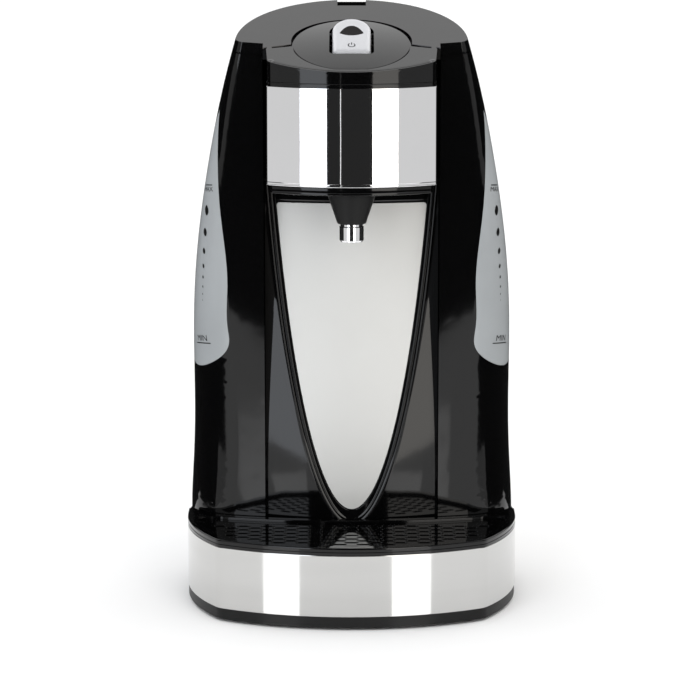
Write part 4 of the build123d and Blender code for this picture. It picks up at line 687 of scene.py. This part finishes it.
marks = {
    "dots": [(-19.6, 210.5, 5.6), (-17.9, 198.6, 4.6), (-16.3, 188.2, 3.5), (-15.1, 179.9, 2.5),
             (-14.1, 173.8, 1.8), (-13.3, 168.5, 1.4), (-12.7, 164.4, 1.0), (-12.1, 161.0, 0.7)],
    "max": (-24.3, -17.5, 224.2), "min": (-13.4, -2.5, 137.0), "tilt": -0.12,
    "size": {"max": 3.5, "min": 4.6}, "foot": {"max": -3.4, "min": 1.2}, "stroke": 0.28,
    "lift": 0.12, "outside": 200.0, "aside": 79.0, "leafPoints": 24, "leafWide": 0.26, "linePoints": 12,
}


def onWindow(name, side, points, faces):
    # flat shape (y, z) in millimetres laid on the window's outer face
    glass = nodes["window_left" if side < 0 else "window_right"]
    laid = []
    for y, z in points:
        hit, spot, _, _ = glass.ray_cast((side * marks["outside"] * mm, y * mm, z * mm), (-side, 0, 0))
        laid.append((spot.x + side * marks["lift"] * mm, spot.y, spot.z) if hit
                    else (side * marks["aside"] * mm, y * mm, z * mm))
    mesh = bpy.data.meshes.new(name)
    mesh.from_pydata(laid, [], faces)
    addPiece(name, mesh, "black_matte", "machine")


def windowMarks(side):
    label = "left" if side < 0 else "right"
    count = marks["leafPoints"]
    turn = np.linspace(0, 2 * pi, count, endpoint=False)
    # leaf-shaped dot, pointed above and below: two rings and a middle
    leaf = np.stack([marks["leafWide"] * np.sign(np.cos(turn)) * np.abs(np.cos(turn)) ** 1.4,
                     0.5 * np.sin(turn)], 1)
    step = [(n, (n + 1) % count) for n in range(count)]
    faces = [[a, b, count + b, count + a] for a, b in step]
    faces += [[count + a, count + b, 2 * count] for a, b in step]
    for k, (y, z, tall) in enumerate(marks["dots"]):
        points = np.concatenate([tall * leaf, 0.5 * (tall * leaf), [[0, 0]]]) + np.array([y, z])
        onWindow("dot_%s_%d" % (label, k), side, points, faces)
    for name in ("max", "min"):
        first, last, z = marks[name]
        middle, count = 0.5 * (first + last), marks["linePoints"]
        y = np.linspace(first, last, count)
        high = z + marks["tilt"] * (y - middle)
        points = np.concatenate([np.stack([y, high - marks["stroke"]], 1),
                                 np.stack([y, high + marks["stroke"]], 1)[::-1]])
        onWindow("line_%s_%s" % (label, name), side, points,
                 [[k, k + 1, 2 * count - 2 - k, 2 * count - 1 - k] for k in range(count - 1)])
        letters = bpy.data.curves.new("letters", "FONT")
        letters.body, letters.size, letters.align_x = name.upper(), marks["size"][name], "CENTER"
        holder = bpy.data.objects.new("letters", letters)
        flat = bpy.data.meshes.new_from_object(holder)
        bpy.data.objects.remove(holder)
        foot, tilt = z + marks["foot"][name], marks["tilt"] * side
        points = [(middle + side * v.co.x, foot + v.co.y + tilt * v.co.x) for v in flat.vertices]
        onWindow("word_%s_%s" % (label, name), side, points, [list(p.vertices) for p in flat.polygons])


for side in (-1, 1):
    windowMarks(side)
print("window marks made")


# black sheet behind the finger notch in the lid's rear edge: painted shade where the notch shows only shadow

notch = {"half": 7.8, "y": 11.0, "drops": (4.5, 3.0, 1.5, 0.7), "inset": 1.2}
# the shell's rear line: y at the foot, how far it leans in, its foot, its height and its power
rearLine = {"y": 92.5, "lean": 67.5, "low": 41.5, "tall": 258.5, "power": 2.37}


def paintedNotchShade():
    across = np.linspace(-notch["half"], notch["half"], 15)
    rows = []
    for drop in notch["drops"]:
        z = topZ(notch["y"]) - drop
        rise = (z - rearLine["low"]) / rearLine["tall"]
        rear = rearLine["y"] - rearLine["lean"] * rise ** rearLine["power"]
        rows.append(np.stack([across, np.full(15, rear - notch["inset"]), np.full(15, z)], 1))
    # the sheet paints the shadow seen through the notch
    surface("paintedNotchShade", np.array(rows), "black_matte", "lid")


paintedNotchShade()


# camera, lights, floor

view = {"distance": 1.8810, "height": 0.4635, "down": 10.004, "lens": 181.8, "pixels": 700,
        "centrePixel": 351.6, "farthest": 60}
camera = bpy.data.objects.new("camera", bpy.data.cameras.new("camera"))
scene.collection.objects.link(camera)
camera.location = (0, -view["distance"], view["height"])
camera.rotation_euler = (radians(90 - view["down"]), 0, 0)
camera.data.lens = view["lens"]
camera.data.shift_x = (0.5 * view["pixels"] - view["centrePixel"]) / view["pixels"]
camera.data.clip_end = view["farthest"]
scene.camera = camera
scene.view_settings.view_transform = "Standard"


def panel(name, azimuths, heights, distance, strength, tint=(1, 1, 1), columns=12):
    # part of an upright cylinder round the object: azimuth 0 is towards the camera
    turn = np.radians(np.linspace(*azimuths, columns))
    rows = [np.stack([distance * np.sin(turn), -distance * np.cos(turn), np.full(columns, h)], 1)
            for h in heights]
    mesh = bpy.data.meshes.new(name)
    k = np.arange(columns - 1)
    mesh.from_pydata(np.concatenate(rows), [], np.stack([k, k + 1, k + 1 + columns, k + columns], 1).tolist())
    lamp = bpy.data.materials.new(name)
    tree = Tree(lamp)
    glow = tree.node("ShaderNodeEmission", None, {"Color": (*tint, 1), "Strength": strength})
    out = tree.nodes.new("ShaderNodeOutputMaterial")
    tree.put(out.inputs["Surface"], glow)
    mesh.materials.append(lamp)
    made = bpy.data.objects.new(name, mesh)
    scene.collection.objects.link(made)
    made.visible_camera = made.visible_shadow = False


panel("softboxLeft", (-40, -19), (-0.62, 3.0), 3.0, 3.0, (0.96, 1, 1.06))
panel("softboxRight", (16, 36), (-0.62, 3.0), 3.0, 3.0, (1.03, 1, 0.95))
panel("slit", (-8.6, -8.1), (-0.62, 3.0), 3.0, 1.2, columns=2)
panel("fillLeft", (-75, -40), (-0.62, 2.6), 3.0, 0.66)
panel("fillRight", (36, 75), (-0.62, 2.6), 3.0, 0.66)
panel("backdrop", (110, 250), (1.2, 5.0), 3.4, 1.3, columns=24)

paper = Finish("paleFloor", Base_Color=grey(0.95), Roughness=0.6, Specular_IOR_Level=0.0).material


def sheet(name, corners, height, material):
    made = bpy.data.objects.new(name, bpy.data.meshes.new(name))
    made.data.from_pydata([(x, y, height) for x, y in corners], [], [list(range(len(corners)))])
    scene.collection.objects.link(made)
    made.data.materials.append(material)
    made.visible_shadow = False
    return made


sheet("floor", [(-9, -9), (9, -9), (9, 9), (-9, 9)], 0, paper).visible_glossy = False
# what the polished base mirrors: the floor close by, and glowing sheets on it that are painted shine, a
# painted reflection of the softboxes' light on the floor
mirrored = [sheet("floorNear", [(-0.34, -0.36), (0.34, -0.36), (0.34, 0.17), (-0.34, 0.17)], 0.0002, paper)]
# painted shine: each sheet lies between two rays, each from a point on the steel band towards an azimuth
paintedShine = {"shineLeft": [(-0.0460, -0.0867, -42.7), (-0.0272, -0.0921, -24.9)],
         "shineRight": [(0.0210, -0.0933, 19.1), (0.0413, -0.0883, 38.1)]}
paintedShineLength = 0.26
for name, rays in paintedShine.items():
    near = [(x, y) for x, y, _ in rays]
    far = [(x + paintedShineLength * np.sin(radians(a)), y - paintedShineLength * np.cos(radians(a))) for x, y, a in rays]
    # the sheet glows though it is no lamp: a painted pool of softbox light, seen only in reflections
    glow = Finish(name, Base_Color=grey(0.9), Emission_Color=grey(1.0), Emission_Strength=1.0)
    mirrored.append(sheet(name, near + far[::-1], 0.0004, glow.material))
for patch in mirrored:
    patch.visible_camera = patch.visible_diffuse = False

world = bpy.data.worlds.new("studio")
scene.world = world
tree = Tree(world)
path = tree.nodes.new("ShaderNodeLightPath")
seen, gloss = Wire(tree, path.outputs["Is Camera Ray"]), Wire(tree, path.outputs["Is Glossy Ray"])
# brighter where the camera sees it, and almost dark in reflections
air = tree.node("ShaderNodeBackground", None,
                {"Color": (1, 1, 1, 1), "Strength": 1.12 + 0.2 * seen - 1.1 * gloss})
tree.put(tree.nodes.new("ShaderNodeOutputWorld").inputs["Surface"], air)
print("camera, lights and floor set")
